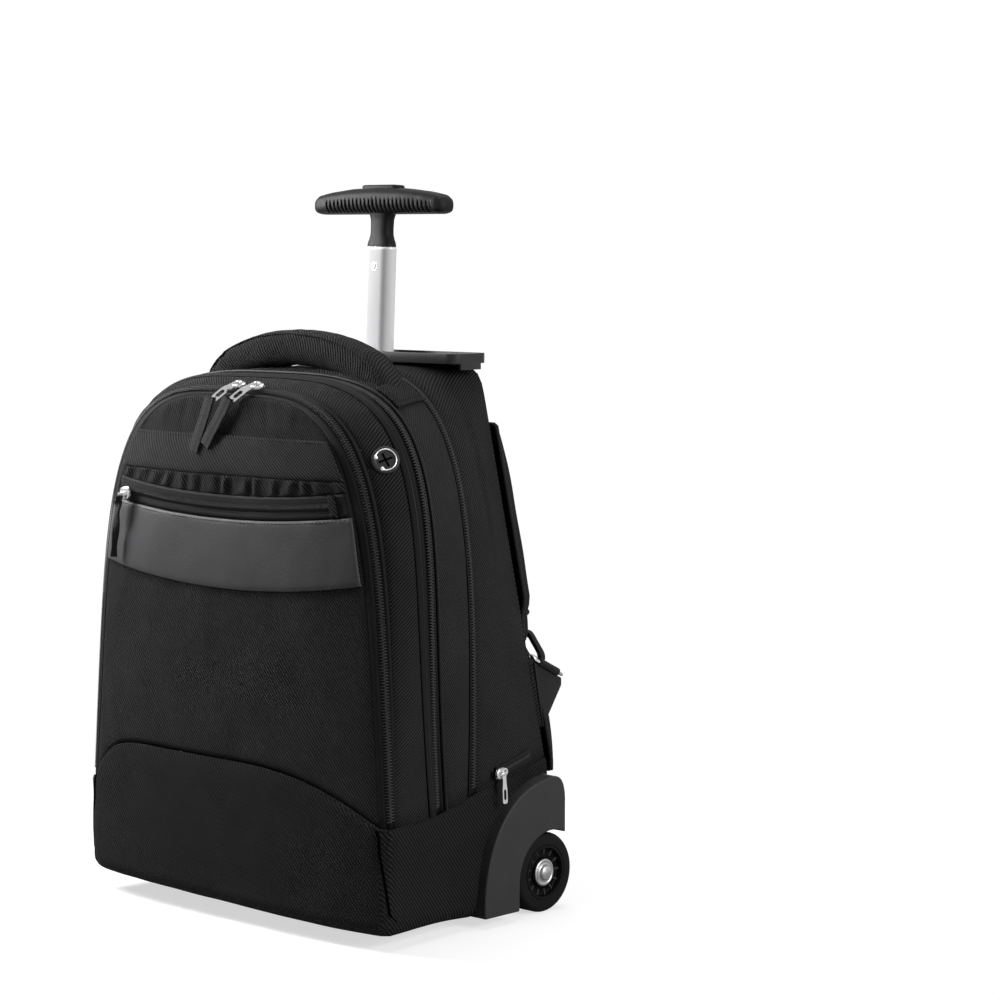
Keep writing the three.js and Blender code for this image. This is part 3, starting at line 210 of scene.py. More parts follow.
def arch_point(name, along):
    """A point of a row's arch: -1 at the left base seam, 0 at the top, 1 at the right seam."""
    point = row_point(name, 1 - abs(along) ** 3)
    return Vector((math.copysign(point.x, along) if along else 0.0, point.y, point.z))


def beside(name, neighbour, distance):
    """The line that runs beside a row, a distance towards its neighbour."""
    def line(along):
        start = arch_point(name, along)
        toward = arch_point(neighbour, along) - start
        return start + toward * (distance / toward.length)
    return line


def on_row(name):
    return lambda along: arch_point(name, along)


def front_seam_height(share):
    """The arch of the base's front seam, fuller on the left as the stuffed bag shows it."""
    fall = abs(share) ** (3 if share > 0 else 9)
    return height_mm() * ROWS["panel_seam"]["seam"] + FRONT_ARCH_RISE * (1 - fall) * (
        1 - (0.1 if share > 0 else -0.06) * share * share)


def front_point(share, height, proud=0.0):
    """A point of the front face at a share of the half width and a height."""
    edge = row_at_height("panel_seam", height)
    seam = height_mm() * ROWS["panel_seam"]["seam"]
    rise = max((height - seam) / (height_mm() * ROWS["panel_seam"]["top"] - seam), 0.0)
    swell = (1 - abs(share) ** 3.5) * (1 - min(rise, 1.0) ** 8)
    return Vector((edge.x * share, edge.y - sizes().front_bulge * 1000 * swell - proud, height))


# Meshes

BAG_MIDDLE = Vector((0, -70, 230))


def new_piece(name, mesh, material, body="bag", replaced=()):
    """An object for a mesh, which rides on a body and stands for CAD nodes."""
    piece = bpy.data.objects.new(name, mesh)
    bpy.context.scene.collection.objects.link(piece)
    if material is not None and not mesh.materials:
        mesh.materials.append(material)
    if replaced:
        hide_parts(*replaced)
    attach(piece, body)
    return piece


def grid_mesh(name, grid, closed_rows=False, facing=None, upright=False):
    """A quad mesh over grid[i][j], in millimetres, with a UV map in metres along and across.

    An upright map has heights instead of distances across.
    """
    rows, columns = len(grid), len(grid[0])
    mesh = bpy.data.meshes.new(name)
    faces = []
    spans = rows if closed_rows else rows - 1
    for i in range(spans):
        k = (i + 1) % rows
        for j in range(columns - 1):
            faces.append((i * columns + j, k * columns + j, k * columns + j + 1, i * columns + j + 1))
    middle_i, middle_j = (rows - 1) // 2, (columns - 1) // 2
    a, b, c = grid[middle_i][middle_j], grid[middle_i + 1][middle_j], grid[middle_i][middle_j + 1]
    outward = facing if facing is not None else a - BAG_MIDDLE
    flipped = (b - a).cross(c - a).dot(outward) < 0
    if flipped:
        faces = [face[::-1] for face in faces]
    mesh.from_pydata([world(p) for row in grid for p in row], [], faces)
    along = [0.0]
    for i in range(1, rows + 1):
        step = grid[i % rows][middle_j] - grid[i - 1][middle_j]
        along.append(along[-1] + step.length / 1000)
    across = []
    for row in grid:
        run = [0.0]
        for j in range(1, columns):
            run.append(run[-1] + (row[j] - row[j - 1]).length / 1000)
        across.append([point.z / 1000 for point in row] if upright else run)
    uv_map = mesh.uv_layers.new(name="weave")
    for index, face in enumerate(mesh.polygons):
        wraps = closed_rows and index // (columns - 1) == rows - 1
        for loop in face.loop_indices:
            vertex = mesh.loops[loop].vertex_index
            i, j = divmod(vertex, columns)
            u = along[rows] if wraps and i == 0 else along[i]
            uv_map.data[loop].uv = (u, across[i][j])
    mesh.polygons.foreach_set("use_smooth", [True] * len(mesh.polygons))
    mesh.update()
    return mesh


def give_wall(piece, wall):
    """Cloth of a thickness in millimetres, behind its outer face."""
    solid = piece.modifiers.new("Cloth wall", "SOLIDIFY")
    solid.thickness = wall / 1000
    solid.offset = -1


def loft_mesh(name, rings, looped=False):
    """A closed body through rings of points, in millimetres, with a UV map in metres."""
    sides = len(rings[0])
    mesh = bpy.data.meshes.new(name)
    verts = [world(p) for ring in rings for p in ring]
    faces = []
    spans = len(rings) if looped else len(rings) - 1
    for k in range(spans):
        n = (k + 1) % len(rings)
        for i in range(sides):
            j = (i + 1) % sides
            faces.append((k * sides + i, k * sides + j, n * sides + j, n * sides + i))
    if not looped:
        faces.append(tuple(range(sides)))
        end = (len(rings) - 1) * sides
        faces.append(tuple(end + i for i in reversed(range(sides))))
    mesh.from_pydata(verts, [], faces)
    uv_map = mesh.uv_layers.new(name="weave")
    along = [0.0]
    for k in range(1, len(rings) + 1):
        along.append(along[-1] + (rings[k % len(rings)][0] - rings[k - 1][0]).length / 1000)
    girth = sum((rings[0][i] - rings[0][i - 1]).length for i in range(sides)) / 1000
    for index in range(spans * sides):
        k, i = divmod(index, sides)
        corners = [(k, i), (k, i + 1), (k + 1, i + 1), (k + 1, i)]
        for loop, (ring, side) in zip(mesh.polygons[index].loop_indices, corners):
            uv_map.data[loop].uv = (along[ring], girth * side / sides)
    shape = bmesh.new()
    shape.from_mesh(mesh)
    bmesh.ops.recalc_face_normals(shape, faces=shape.faces)
    shape.to_mesh(mesh)
    shape.free()
    mesh.polygons.foreach_set("use_smooth", [True] * len(mesh.polygons))
    mesh.set_sharp_from_angle(angle=math.radians(50))
    return mesh


def frames_along(points, up=Vector((0, 0, 1))):
    """Points with their tangent and two directions across, turned as little as possible."""
    frames = []
    side = None
    for k, point in enumerate(points):
        ahead = points[min(k + 1, len(points) - 1)]
        behind = points[max(k - 1, 0)]
        tangent = (ahead - behind).normalized()
        if side is None:
            side = tangent.cross(up)
            if side.length < 1e-3:
                side = tangent.cross(Vector((0, 1, 0)))
        side = (side - tangent * side.dot(tangent)).normalized()
        frames.append((point, tangent, side, side.cross(tangent).normalized()))
    return frames


def tube_mesh(name, points, radius, sides=8, looped=False):
    """A round tube along points."""
    rings = []
    for k, (point, _, side, up) in enumerate(frames_along(points)):
        size = radius(k / max(len(points) - 1, 1)) if callable(radius) else radius
        rings.append([point + side * (math.cos(t) * size) + up * (math.sin(t) * size)
                      for t in (2 * math.pi * i / sides for i in range(sides))])
    return loft_mesh(name, rings, looped)


def merged(name, meshes):
    """One mesh from several, which keep their UV maps."""
    shape = bmesh.new()
    for mesh in meshes:
        shape.from_mesh(mesh)
    whole = bpy.data.meshes.new(name)
    shape.to_mesh(whole)
    shape.free()
    for mesh in meshes:
        bpy.data.meshes.remove(mesh)
    return whole


def by_distance(points, step):
    """Points at an even distance along a line of points, with their share of the way."""
    runs = [0.0]
    for a, b in zip(points, points[1:]):
        runs.append(runs[-1] + (b - a).length)
    count = max(int(runs[-1] / step), 1)
    result = []
    k = 0
    for n in range(count + 1):
        target = runs[-1] * n / count
        while k < len(points) - 2 and runs[k + 1] < target:
            k += 1
        span = runs[k + 1] - runs[k] or 1.0
        share = (target - runs[k]) / span
        result.append((points[k].lerp(points[k + 1], share), (k + share) / (len(points) - 1)))
    return result


def stitch_mesh(name, lines, length=None, gap=1.5, radius=0.34):
    """Short threads along lines of (point, outward direction)."""
    length = length or sizes().stitch_length * 1000
    verts, faces = [], []
    for line in lines:
        points = [p for p, _ in line]
        runs = by_distance(points, 1.0)
        position = 0.0
        total = float(len(runs) - 1)
        while position + length < total:
            low, high = runs[int(position)], runs[int(position + length)]
            outward = line[min(int(low[1] * (len(points) - 1)), len(line) - 1)][1]
            tangent = (high[0] - low[0]).normalized()
            side = tangent.cross(outward).normalized() * radius
            lift = outward.normalized() * radius
            base = len(verts)
            reach = high[0] - low[0]
            verts.append(low[0])
            for share in (0.2, 0.8):
                centre = low[0] + reach * share + lift * 0.4
                verts += [centre + side, centre + lift, centre - side, centre - lift]
            verts.append(high[0])
            for i in range(4):
                j = (i + 1) % 4
                faces.append((base, base + 1 + j, base + 1 + i))
                faces.append((base + 1 + i, base + 1 + j, base + 5 + j, base + 5 + i))
                faces.append((base + 9, base + 5 + i, base + 5 + j))
            position += length + gap
    mesh = bpy.data.meshes.new(name)
    mesh.from_pydata([world(p) for p in verts], [], faces)
    mesh.uv_layers.new(name="weave")
    shape = bmesh.new()
    shape.from_mesh(mesh)
    bmesh.ops.recalc_face_normals(shape, faces=shape.faces)
    shape.to_mesh(mesh)
    shape.free()
    mesh.polygons.foreach_set("use_smooth", [True] * len(mesh.polygons))
    return mesh


def mirrored(mesh, name):
    copy = mesh.copy()
    copy.name = name
    copy.transform(Matrix.Scale(-1, 4, (1, 0, 0)))
    copy.flip_normals()
    return copy


# Materials

def node_group(name, inputs, outputs):
    """A shader node group with float inputs (name, default) and outputs (name, kind)."""
    group = bpy.data.node_groups.new(name, "ShaderNodeTree")
    for label, default in inputs:
        socket = group.interface.new_socket(label, in_out="INPUT", socket_type="NodeSocketFloat")
        socket.default_value = default
    for label, kind in outputs:
        group.interface.new_socket(label, in_out="OUTPUT", socket_type=kind)
    return group, group.nodes.new("NodeGroupInput"), group.nodes.new("NodeGroupOutput")


def put(tree, kind, links=None, **values):
    """A node with its settings, and its inputs linked or set by name or index."""
    node = tree.nodes.new(kind)
    for key, value in values.items():
        setattr(node, key, value)
    for key, value in (links or {}).items():
        if isinstance(value, bpy.types.NodeSocket):
            tree.links.new(value, node.inputs[key])
        else:
            node.inputs[key].default_value = value
    return node


def maths(tree, operation, a, b=0.0, c=0.0):
    return put(tree, "ShaderNodeMath", {0: a, 1: b, 2: c}, operation=operation).outputs[0]


def wave(tree, value):
    """A sine of a value counted in turns, from 0 to 1."""
    turned = maths(tree, "MULTIPLY", value, 2 * math.pi)
    return maths(tree, "MULTIPLY_ADD", maths(tree, "SINE", turned), 0.5, 0.5)


def weave_coordinates(tree):
    uv_map = put(tree, "ShaderNodeUVMap", uv_map="weave")
    apart = put(tree, "ShaderNodeSeparateXYZ", {0: uv_map.outputs[0]})
    return apart.outputs[0], apart.outputs[1]


def make_twill_group():
    """Diagonal ribs of twill, broken into yarns, with slow unevenness; the colour is darkened between the ribs
    and yarns as painted groove shade.
    """
    group, entry, out = node_group(
        "Twill weave", [("Pitch", 0.0023), ("Lean", 1.0), ("Yarn", 0.45)],
        [("Height", "NodeSocketFloat"), ("Shade", "NodeSocketFloat")])
    u, v = weave_coordinates(group)
    lean = entry.outputs["Lean"]
    pitch = maths(group, "MULTIPLY", entry.outputs["Pitch"], maths(
        group, "SQRT", maths(group, "MULTIPLY_ADD", lean, lean, 1.0)))
    slanted = maths(group, "ADD", maths(group, "MULTIPLY", u, lean), v)
    ribs = wave(group, maths(group, "DIVIDE", slanted, pitch))
    crossing = maths(group, "SUBTRACT", maths(group, "MULTIPLY", u, entry.outputs["Lean"]), v)
    yarns = wave(group, maths(group, "DIVIDE", crossing, maths(group, "MULTIPLY", pitch, 0.62)))
    height = maths(group, "MULTIPLY", ribs, maths(
        group, "SUBTRACT", 1.0, maths(group, "MULTIPLY", yarns, entry.outputs["Yarn"])))
    coordinates = put(group, "ShaderNodeTexCoord").outputs["Object"]
    cloud = put(group, "ShaderNodeTexNoise", {"Vector": coordinates, "Scale": 26.0, "Detail": 4.0})
    # Shade: painted groove shade from the rib height, times slow unevenness of the cloth's tone
    shade = maths(group, "MULTIPLY", maths(group, "MULTIPLY_ADD", height, 1.0, 0.2), maths(
        group, "MULTIPLY_ADD", cloud.outputs[0], 0.5, 0.75))
    group.links.new(height, out.inputs["Height"])
    group.links.new(shade, out.inputs["Shade"])
    return group


def make_grain_group():
    """A fine moulded or leathery grain with a little wear."""
    group, entry, out = node_group(
        "Grain", [("Scale", 900.0), ("Wear", 0.2)],
        [("Height", "NodeSocketFloat"), ("Shade", "NodeSocketFloat")])
    coordinates = put(group, "ShaderNodeTexCoord").outputs["Object"]
    cells = put(group, "ShaderNodeTexVoronoi", {
        "Vector": coordinates, "Scale": entry.outputs["Scale"]}, feature="SMOOTH_F1")
    cloud = put(group, "ShaderNodeTexNoise", {"Vector": coordinates, "Scale": 60.0, "Detail": 5.0})
    shade = maths(group, "MULTIPLY_ADD", maths(
        group, "SUBTRACT", cloud.outputs[0], 0.5), entry.outputs["Wear"], 1.0)
    group.links.new(cells.outputs["Distance"], out.inputs["Height"])
    group.links.new(shade, out.inputs["Shade"])
    return group


def make_rib_group():
    """Ribs across a tape or webbing, with a faint line pattern along it; the colour is darker in the grooves
    as painted shade.
    """
    group, entry, out = node_group(
        "Ribbed tape", [("Pitch", 0.0012), ("Cross", 0.0026)],
        [("Height", "NodeSocketFloat"), ("Shade", "NodeSocketFloat")])
    u, v = weave_coordinates(group)
    ribs = wave(group, maths(group, "DIVIDE", u, entry.outputs["Pitch"]))
    lines = wave(group, maths(group, "DIVIDE", v, entry.outputs["Cross"]))
    height = maths(group, "MULTIPLY_ADD", ribs, 0.6, maths(group, "MULTIPLY", lines, 0.4))
    group.links.new(height, out.inputs["Height"])
    # painted groove shade: the colour follows the rib height
    group.links.new(maths(group, "MULTIPLY_ADD", height, 0.5, 0.65), out.inputs["Shade"])
    return group


def make_mesh_group():
    """Open air mesh: diamond holes in rows, the colour darker in the holes as painted shade."""
    group, entry, out = node_group(
        "Air mesh", [("Pitch", 0.0045)],
        [("Height", "NodeSocketFloat"), ("Shade", "NodeSocketFloat")])
    u, v = weave_coordinates(group)
    one = wave(group, maths(group, "DIVIDE", maths(group, "ADD", u, v), entry.outputs["Pitch"]))
    two = wave(group, maths(group, "DIVIDE", maths(group, "SUBTRACT", u, v), entry.outputs["Pitch"]))
    hole = put(group, "ShaderNodeMapRange", {
        0: maths(group, "MULTIPLY", one, two), 1: 0.35, 2: 0.6, 3: 1.0, 4: 0.0}).outputs[0]
    group.links.new(hole, out.inputs["Height"])
    # painted shade in the holes: the colour falls where the height does
    group.links.new(maths(group, "MULTIPLY_ADD", hole, 0.8, 0.2), out.inputs["Shade"])
    return group


def make_fade_group():
    """One near the middle of the floor, falling to nothing further out."""
    group, entry, out = node_group(
        "Floor fade", [("Near", 0.3), ("Far", 0.6)], [("Mask", "NodeSocketFloat")])
    coordinates = put(group, "ShaderNodeTexCoord").outputs["Object"]
    away = put(group, "ShaderNodeVectorMath", {0: coordinates}, operation="LENGTH").outputs["Value"]
    mask = put(group, "ShaderNodeMapRange", {
        0: away, 1: entry.outputs["Near"], 2: entry.outputs["Far"], 3: 1.0, 4: 0.0},
        interpolation_type="SMOOTHSTEP").outputs[0]
    group.links.new(mask, out.inputs["Mask"])
    return group


GROUP_MAKERS = {
    "Twill weave": make_twill_group,
    "Grain": make_grain_group,
    "Ribbed tape": make_rib_group,
    "Air mesh": make_mesh_group,
}


def surface(name, colour, group_name, group_values, bump, roughness, **settings):
    """A material from one of the shared groups: its shade over the colour, its height as bump."""
    if name in bpy.data.materials:
        return bpy.data.materials[name]
    material = bpy.data.materials.new(name)
    material.use_nodes = True
    tree = material.node_tree
    shader = tree.nodes["Principled BSDF"]
    group = bpy.data.node_groups.get(group_name) or GROUP_MAKERS[group_name]()
    effect = put(tree, "ShaderNodeGroup", node_tree=group)
    for key, value in group_values.items():
        effect.inputs[key].default_value = value
    tint = put(tree, "ShaderNodeMix", data_type="RGBA", blend_type="MULTIPLY")
    tint.inputs[0].default_value = 1.0
    tint.inputs[6].default_value = (*colour, 1.0)
    grey = put(tree, "ShaderNodeCombineColor", {
        0: effect.outputs["Shade"], 1: effect.outputs["Shade"], 2: effect.outputs["Shade"]})
    tree.links.new(grey.outputs[0], tint.inputs[7])
    tree.links.new(tint.outputs[2], shader.inputs["Base Color"])
    relief = put(tree, "ShaderNodeBump", {
        "Height": effect.outputs["Height"], "Strength": 0.9, "Distance": bump})
    tree.links.new(relief.outputs[0], shader.inputs["Normal"])
    rough = maths(tree, "MULTIPLY_ADD", effect.outputs["Shade"], -0.1, roughness + 0.08)
    tree.links.new(rough, shader.inputs["Roughness"])
    for key, value in settings.items():
        shader.inputs[key.replace("_", " ")].default_value = value
    return material


def twill():
    return surface("Twill", colours().twill, "Twill weave", {
        "Pitch": sizes().weave_pitch, "Lean": 1.3}, 0.0012, 0.75, Specular_IOR_Level=0.04)


# light scales the colour; the upper band's 2.0 makes a brighter copy of the heavy twill, painted light from
# above
def heavy_twill(name="Heavy twill", light=1.0):
    return surface(name, [light * share for share in colours().heavy_twill], "Twill weave", {
        "Pitch": sizes().weave_pitch * 1.12, "Lean": 1.2, "Yarn": 0.75}, 0.0018, 0.75, Specular_IOR_Level=0.04)


def leather():
    return surface("Leather", colours().leather, "Grain", {
        "Scale": 700.0, "Wear": 0.25}, 0.00012, 0.5, Specular_IOR_Level=0.12)


def tape():
    return surface("Zip tape", colours().tape, "Ribbed tape", {
        "Pitch": 0.0012, "Cross": 0.0022}, 0.0002, 0.7, Specular_IOR_Level=0.08)


# Zip teeth: own dark plastic, its colour lightened as painted highlight on the coil
def coil_look():
    return surface("Zip coil", colours().coil, "Grain", {
        "Scale": 1200.0}, 0.00005, 0.42, Specular_IOR_Level=0.14)


def piping_look():
    return surface("Piping", colours().piping, "Grain", {"Scale": 900.0}, 0.00005, 0.5,
                   Specular_IOR_Level=0.1)


def plastic():
    return surface("Plastic", colours().plastic, "Grain", {"Scale": 1500.0, "Wear": 0.35}, 0.00008, 0.46,
                   Specular_IOR_Level=0.12)


def soft_plastic():
    return surface("Soft plastic", colours().soft_plastic, "Grain", {
        "Scale": 1300.0, "Wear": 0.3}, 0.00006, 0.5, Specular_IOR_Level=0.09)


def tyre_look():
    return surface("Tyre", colours().tyre, "Grain", {
        "Scale": 1100.0, "Wear": 0.5}, 0.0001, 0.6, Specular_IOR_Level=0.06)


def air_mesh():
    return surface("Air mesh", colours().mesh, "Air mesh", {
        "Pitch": 0.0045}, 0.0008, 0.85, Specular_IOR_Level=0.12)


def webbing():
    return surface("Webbing", colours().tape, "Ribbed tape", {
        "Pitch": 0.0019, "Cross": 0.0016}, 0.0004, 0.72, Specular_IOR_Level=0.16)


def thread():
    return surface("Thread", colours().piping, "Grain", {
        "Scale": 2500.0}, 0.00002, 0.6, Specular_IOR_Level=0.05)


def metal():
    return surface("Polished metal", colours().metal, "Grain", {
        "Scale": 400.0, "Wear": 0.2}, 0.00001, 0.2, Metallic=1.0)


def hub_metal():
    return surface("Satin metal", [0.7 * share for share in colours().metal], "Grain", {
        "Scale": 500.0, "Wear": 0.2}, 0.00001, 0.36, Metallic=0.85)


def tube_metal():
    return surface("Satin tube", colours().tube, "Grain", {
        "Scale": 1600.0, "Wear": 0.06}, 0.00001, 0.4, Metallic=0.1)


# Cloth of the bag

def edge_roll(distance, depth=1.1, reach=1.8):
    """How far cloth turns in at a seam, by the distance from it."""
    return -depth * math.exp(-(distance / reach) ** 2)


def strip_grid(lines, steps, shares, relief):
    """A grid over a strip around the bag: relief(along, share, width) stands it out."""
    grid = []
    for k in spread(steps):
        along = -1 + 2 * k
        low, high = max(along - 0.004, -1), min(along + 0.004, 1)
        start, end = lines[0](along), lines[1](along)
        width = (end - start).length
        across = (end - start).normalized()
        row = []
        for share in shares:
            tangent = lines[0](high).lerp(lines[1](high), share) - lines[0](low).lerp(
                lines[1](low), share)
            normal = tangent.cross(across).normalized()
            point = start.lerp(end, share)
            row.append(point + normal * relief(along, share, width))
        grid.append(row)
    return grid


def seam_shares(count):
    """Shares across a strip, closer together at its two seams."""
    return [0.5 - 0.5 * math.cos(math.pi * k / count) for k in range(count + 1)]


def puffed(height, fade=None):
    def relief(along, share, width):
        edge = min(share, 1 - share) * width
        swell = height * 4 * share * (1 - share) * (fade(along) if fade else 1)
        return swell + edge_roll(edge)
    return relief


def strip_piece(name, lines, material, wall, relief, replaced, steps=150, columns=14):
    grid = strip_grid(lines, steps, seam_shares(columns), relief)
    piece = new_piece(name, grid_mesh(name, grid), material, replaced=replaced)
    give_wall(piece, wall)
    return piece


def folds(point, creases):
    """Soft ridges and dents near line segments: (start, end, width, depth) in x and z."""
    total = 0.0
    for (x0, z0), (x1, z1), width, depth in creases:
        way = Vector((x1 - x0, z1 - z0))
        reach = Vector((point.x - x0, point.z - z0))
        share = clamp(reach.dot(way) / way.length_squared)
        gap = (reach - way * share).length
        fade = math.sin(math.pi * clamp(0.08 + 0.84 * share)) ** 0.6
        total += depth * fade * math.exp(-(gap / width) ** 2)
    return total


def unevenness(point, size, depth):
    return depth * noise.noise(Vector(point) / size)


# Dents and folds of the front face: from, to (x, z), half width, depth in millimetres
FRONT_FOLDS = [
    ((-118, 250), (-60, 140), 12, -1.2), ((60, 250), (118, 150), 13, -1.3),
    ((-20, 200), (10, 140), 16, 0.9), ((-150, 180), (-120, 110), 9, 1.0),
    ((30, 412), (120, 396), 7, -1.3), ((-20, 404), (-4, 382), 4, -1.6),
    ((90, 128), (150, 112), 6, 0.9), ((-140, 340), (-100, 352), 6, -0.6),
    ((-72, 416), (-80, 396), 5, 1.2), ((-50, 420), (-54, 396), 4, -1.3), ((14, 420), (20, 398), 5, 1.3),
    ((38, 418), (46, 396), 4, -1.2), ((62, 414), (72, 394), 5, 1.2), ((-100, 400), (-108, 392), 5, -1.0),
]


def front_relief(point):
    return folds(point, FRONT_FOLDS) + unevenness(point, 46, 0.9) + unevenness(point, 15, 0.22)


def coons(bottom, top, left, right, steps):
    """A grid between four boundary lines of the same number of points."""
    grid = []
    for i in range(steps + 1):
        u = i / steps
        row = []
        for j in range(steps + 1):
            v = j / steps
            straight = bottom[i].lerp(top[i], v) + left[j].lerp(right[j], u)
            corners = bottom[0].lerp(bottom[-1], u).lerp(top[0].lerp(top[-1], u), v)
            row.append(straight - corners)
        grid.append(row)
    return grid


def front_face_grid(steps=84):
    """The front face between the base seam and its arched seam."""
    corner = 0.52
    shares = spread(steps)
    top = [arch_point("panel_seam", lerp(-corner, corner, t)) for t in shares]
    left = [arch_point("panel_seam", -lerp(1, corner, t)) for t in shares]
    right = [arch_point("panel_seam", lerp(1, corner, t)) for t in shares]
    bottom = [front_point(lerp(-1, 1, t), front_seam_height(lerp(-1, 1, t))) for t in shares]
    grid = coons(bottom, top, left, right, steps)
    for i, row in enumerate(grid):
        for j, point in enumerate(row):
            half = max(row_at_height("panel_seam", point.z).x, 1.0)
            share = clamp(point.x / half, -1, 1)
            face = front_point(share, point.z)
            edge = min(i, steps - i, j, steps - j) * 3.2
            point.y = face.y - front_relief(point) * clamp(edge / 14) - edge_roll(edge)
    return grid


def band_height(band, share, up):
    row = FRONT_BANDS[band]
    bend = share * share
    low = height_mm() * lerp(row["low_middle"], row["low_side"], bend)
    high = height_mm() * lerp(row["high_middle"], row["high_side"], bend)
    return lerp(low, high, up)


def band_grid(band, steps, shares_up, lift, reach=0.992):
    """A grid over a band of the front face: lift(share, up, point) stands it off the face."""
    grid = []
    for k in spread(steps):
        share = lerp(-reach, reach, k)
        row = []
        for up in shares_up:
            point = front_point(share, band_height(band, share, up))
            row.append(point - Vector((0, front_relief(point) + lift(share, up, point), 0)))
        grid.append(row)
    return grid


class BACKPACK_OT_front_face(bpy.types.Operator):
    """Build the front face with its bands, pleats and pocket"""

    bl_idname = "backpack.front_face"
    bl_label = "Front face"

    def execute(self, context):
        panel = new_piece("front_face", grid_mesh("front_face", front_face_grid(), upright=True), twill(),
                          replaced=["front_panel"])
        give_wall(panel, 1.6)

        def upper(share, up, point):
            return 1.6 + 1.0 * math.sin(math.pi * up) ** 0.5 + edge_roll(
                min(up, 1 - up) * 31, 0.7, 1.4)
        # The upper band is the heavy twill brightened twofold: painted light from above
        band = new_piece("upper_band_cloth", grid_mesh("upper_band_cloth", band_grid(
            "upper", 90, seam_shares(12), upper)), heavy_twill("Upper band painted light", 2.0), replaced=["upper_band"])
        give_wall(band, 1.2)

        def pleats(share, up, point):
            ripple = math.sin(share * 47 + 2.4 * noise.noise(Vector((share * 7, up * 0.6, 0))))
            slow = noise.noise(Vector((share * 19, up * 0.7, 3.1)))
            swell = clamp(0.15 + math.sin(math.pi * clamp(up)) ** 0.6)
            return 1.5 + swell * (1.1 * ripple + 1.0 * slow) + edge_roll(
                min(up, 1 - up) * 14, 0.6, 1.3)
        band = new_piece("pleated_cloth", grid_mesh("pleated_cloth", band_grid(
            "pleated", 260, seam_shares(10), pleats)), twill(), replaced=["pleated_band"])
        give_wall(band, 1.2)

        def smooth_band(share, up, point):
            return 2.2 + 0.6 * math.sin(math.pi * clamp(up)) ** 0.6 + edge_roll(
                min(up, 1 - up) * 58, 0.8, 1.6) + unevenness(point, 40, 0.5)
        band = new_piece("leather_strip", grid_mesh("leather_strip", band_grid(
            "leather", 90, seam_shares(16), smooth_band)), leather(), replaced=["leather_band"])
        give_wall(band, 1.3)

        def pocket_tape(share, up, point):
            return 0.6 - 0.4 * math.exp(-((up - 0.5) / 0.2) ** 2)
        flat = new_piece("pocket_tape", grid_mesh("pocket_tape", band_grid(
            "pocket", 60, spread(8), pocket_tape)), tape(),
            replaced=["pocket_zip"])
        give_wall(flat, 0.8)
        centre = [(front_point(s, band_height("pocket", s, 0.5)) - Vector((0, 1.3, 0)),
                   Vector((0, -1, 0))) for s in (lerp(-0.95, 0.86, t) for t in spread(120))]
        new_piece("pocket_teeth", teeth_mesh("pocket_teeth", centre, 2.4), coil_look())
        tab = [[front_point(share, band_height("pocket", share, up), 1.9)
                for up in spread(6)] for share in (lerp(0.855, 0.9, t) for t in spread(4))]
        flap = new_piece("pocket_end", grid_mesh("pocket_end", tab), twill())
        give_wall(flap, 1.2)

        lines = []
        for band_name, up, drop in (("upper", 1.0, -2.0), ("upper", 0.0, -2.0),
                                    ("leather", 1.0, -1.9), ("leather", 0.0, -2.0)):
            line = []
            for t in spread(160):
                share = lerp(-0.98, 0.98, t)
                height = band_height(band_name, share, up) + drop
                point = front_point(share, height)
                lift = {"leather": 2.6 if up else 1.0, "upper": 2.1}[band_name]
                line.append((point - Vector((0, front_relief(point) + lift, 0)), Vector((0, -1, 0))))
            lines.append(line)
        new_piece("front_stitches", stitch_mesh("front_stitches", lines), thread())
        return {"FINISHED"}


def teeth_mesh(name, line, reach=3.1, pitch=1.15, thick=0.52):
    """A closed zip's teeth along a line of (point, outward): one from each side in turn."""
    points = [point for point, _ in line]
    runs = by_distance(points, pitch)
    verts, faces = [], []
    for k in range(1, len(runs) - 1):
        point, share = runs[k]
        outward = line[int(share * (len(line) - 1))][1]
        tangent = (runs[k + 1][0] - runs[k - 1][0]).normalized()
        across = outward.cross(tangent).normalized() * (1 if k % 2 else -1)
        base = len(verts)
        for away, size, low in ((-0.9, 0.6, 0.1), (-0.3, 1.0, 0.35), (reach * 0.7, 0.95, 0.2),
                                (reach, 0.6, -0.35)):
            centre = point + across * away + tangent * (away * 0.14) + outward * low
            verts += [centre + tangent * (math.cos(t) * thick * size)
                      + outward * (math.sin(t) * thick * size * 1.1)
                      for t in (2 * math.pi * (i + 0.5) / 6 for i in range(6))]
        for ring in range(3):
            for i in range(6):
                j = (i + 1) % 6
                start = base + ring * 6
                faces.append((start + i, start + j, start + 6 + j, start + 6 + i))
        faces.append(tuple(base + i for i in reversed(range(6))))
        faces.append(tuple(base + 18 + i for i in range(6)))
    mesh = bpy.data.meshes.new(name)
    mesh.from_pydata([world(p) for p in verts], [], faces)
    mesh.uv_layers.new(name="weave")
    shape = bmesh.new()
    shape.from_mesh(mesh)
    bmesh.ops.recalc_face_normals(shape, faces=shape.faces)
    shape.to_mesh(mesh)
    shape.free()
    mesh.polygons.foreach_set("use_smooth", [True] * len(mesh.polygons))
    return mesh


def arch_line(line, normal_line, lift, steps=220, reach=1.0):
    """Points along an arch, lifted off its surface."""
    points = []
    for k in spread(steps):
        along = lerp(-reach, reach, k)
        points.append(line(along) + normal_line(along) * lift)
    return points


def outward_of(line, neighbour):
    """The outward direction of the surface between two lines, at a place along them."""
    def normal(along):
        low, high = max(along - 0.004, -1), min(along + 0.004, 1)
        tangent = line(high) - line(low)
        across = neighbour(along) - line(along)
        return tangent.cross(across).normalized()
    return normal


FRONT_TAPE, MIDDLE_TAPE, REAR_TAPE = 8.0, 7.0, 6.0
SEAM_GAP = 0.3
PIPING_RADIUS = 1.4
PIPING_PLACE = MIDDLE_TAPE + SEAM_GAP + PIPING_RADIUS
PIPED_EDGE = PIPING_PLACE + PIPING_RADIUS + SEAM_GAP


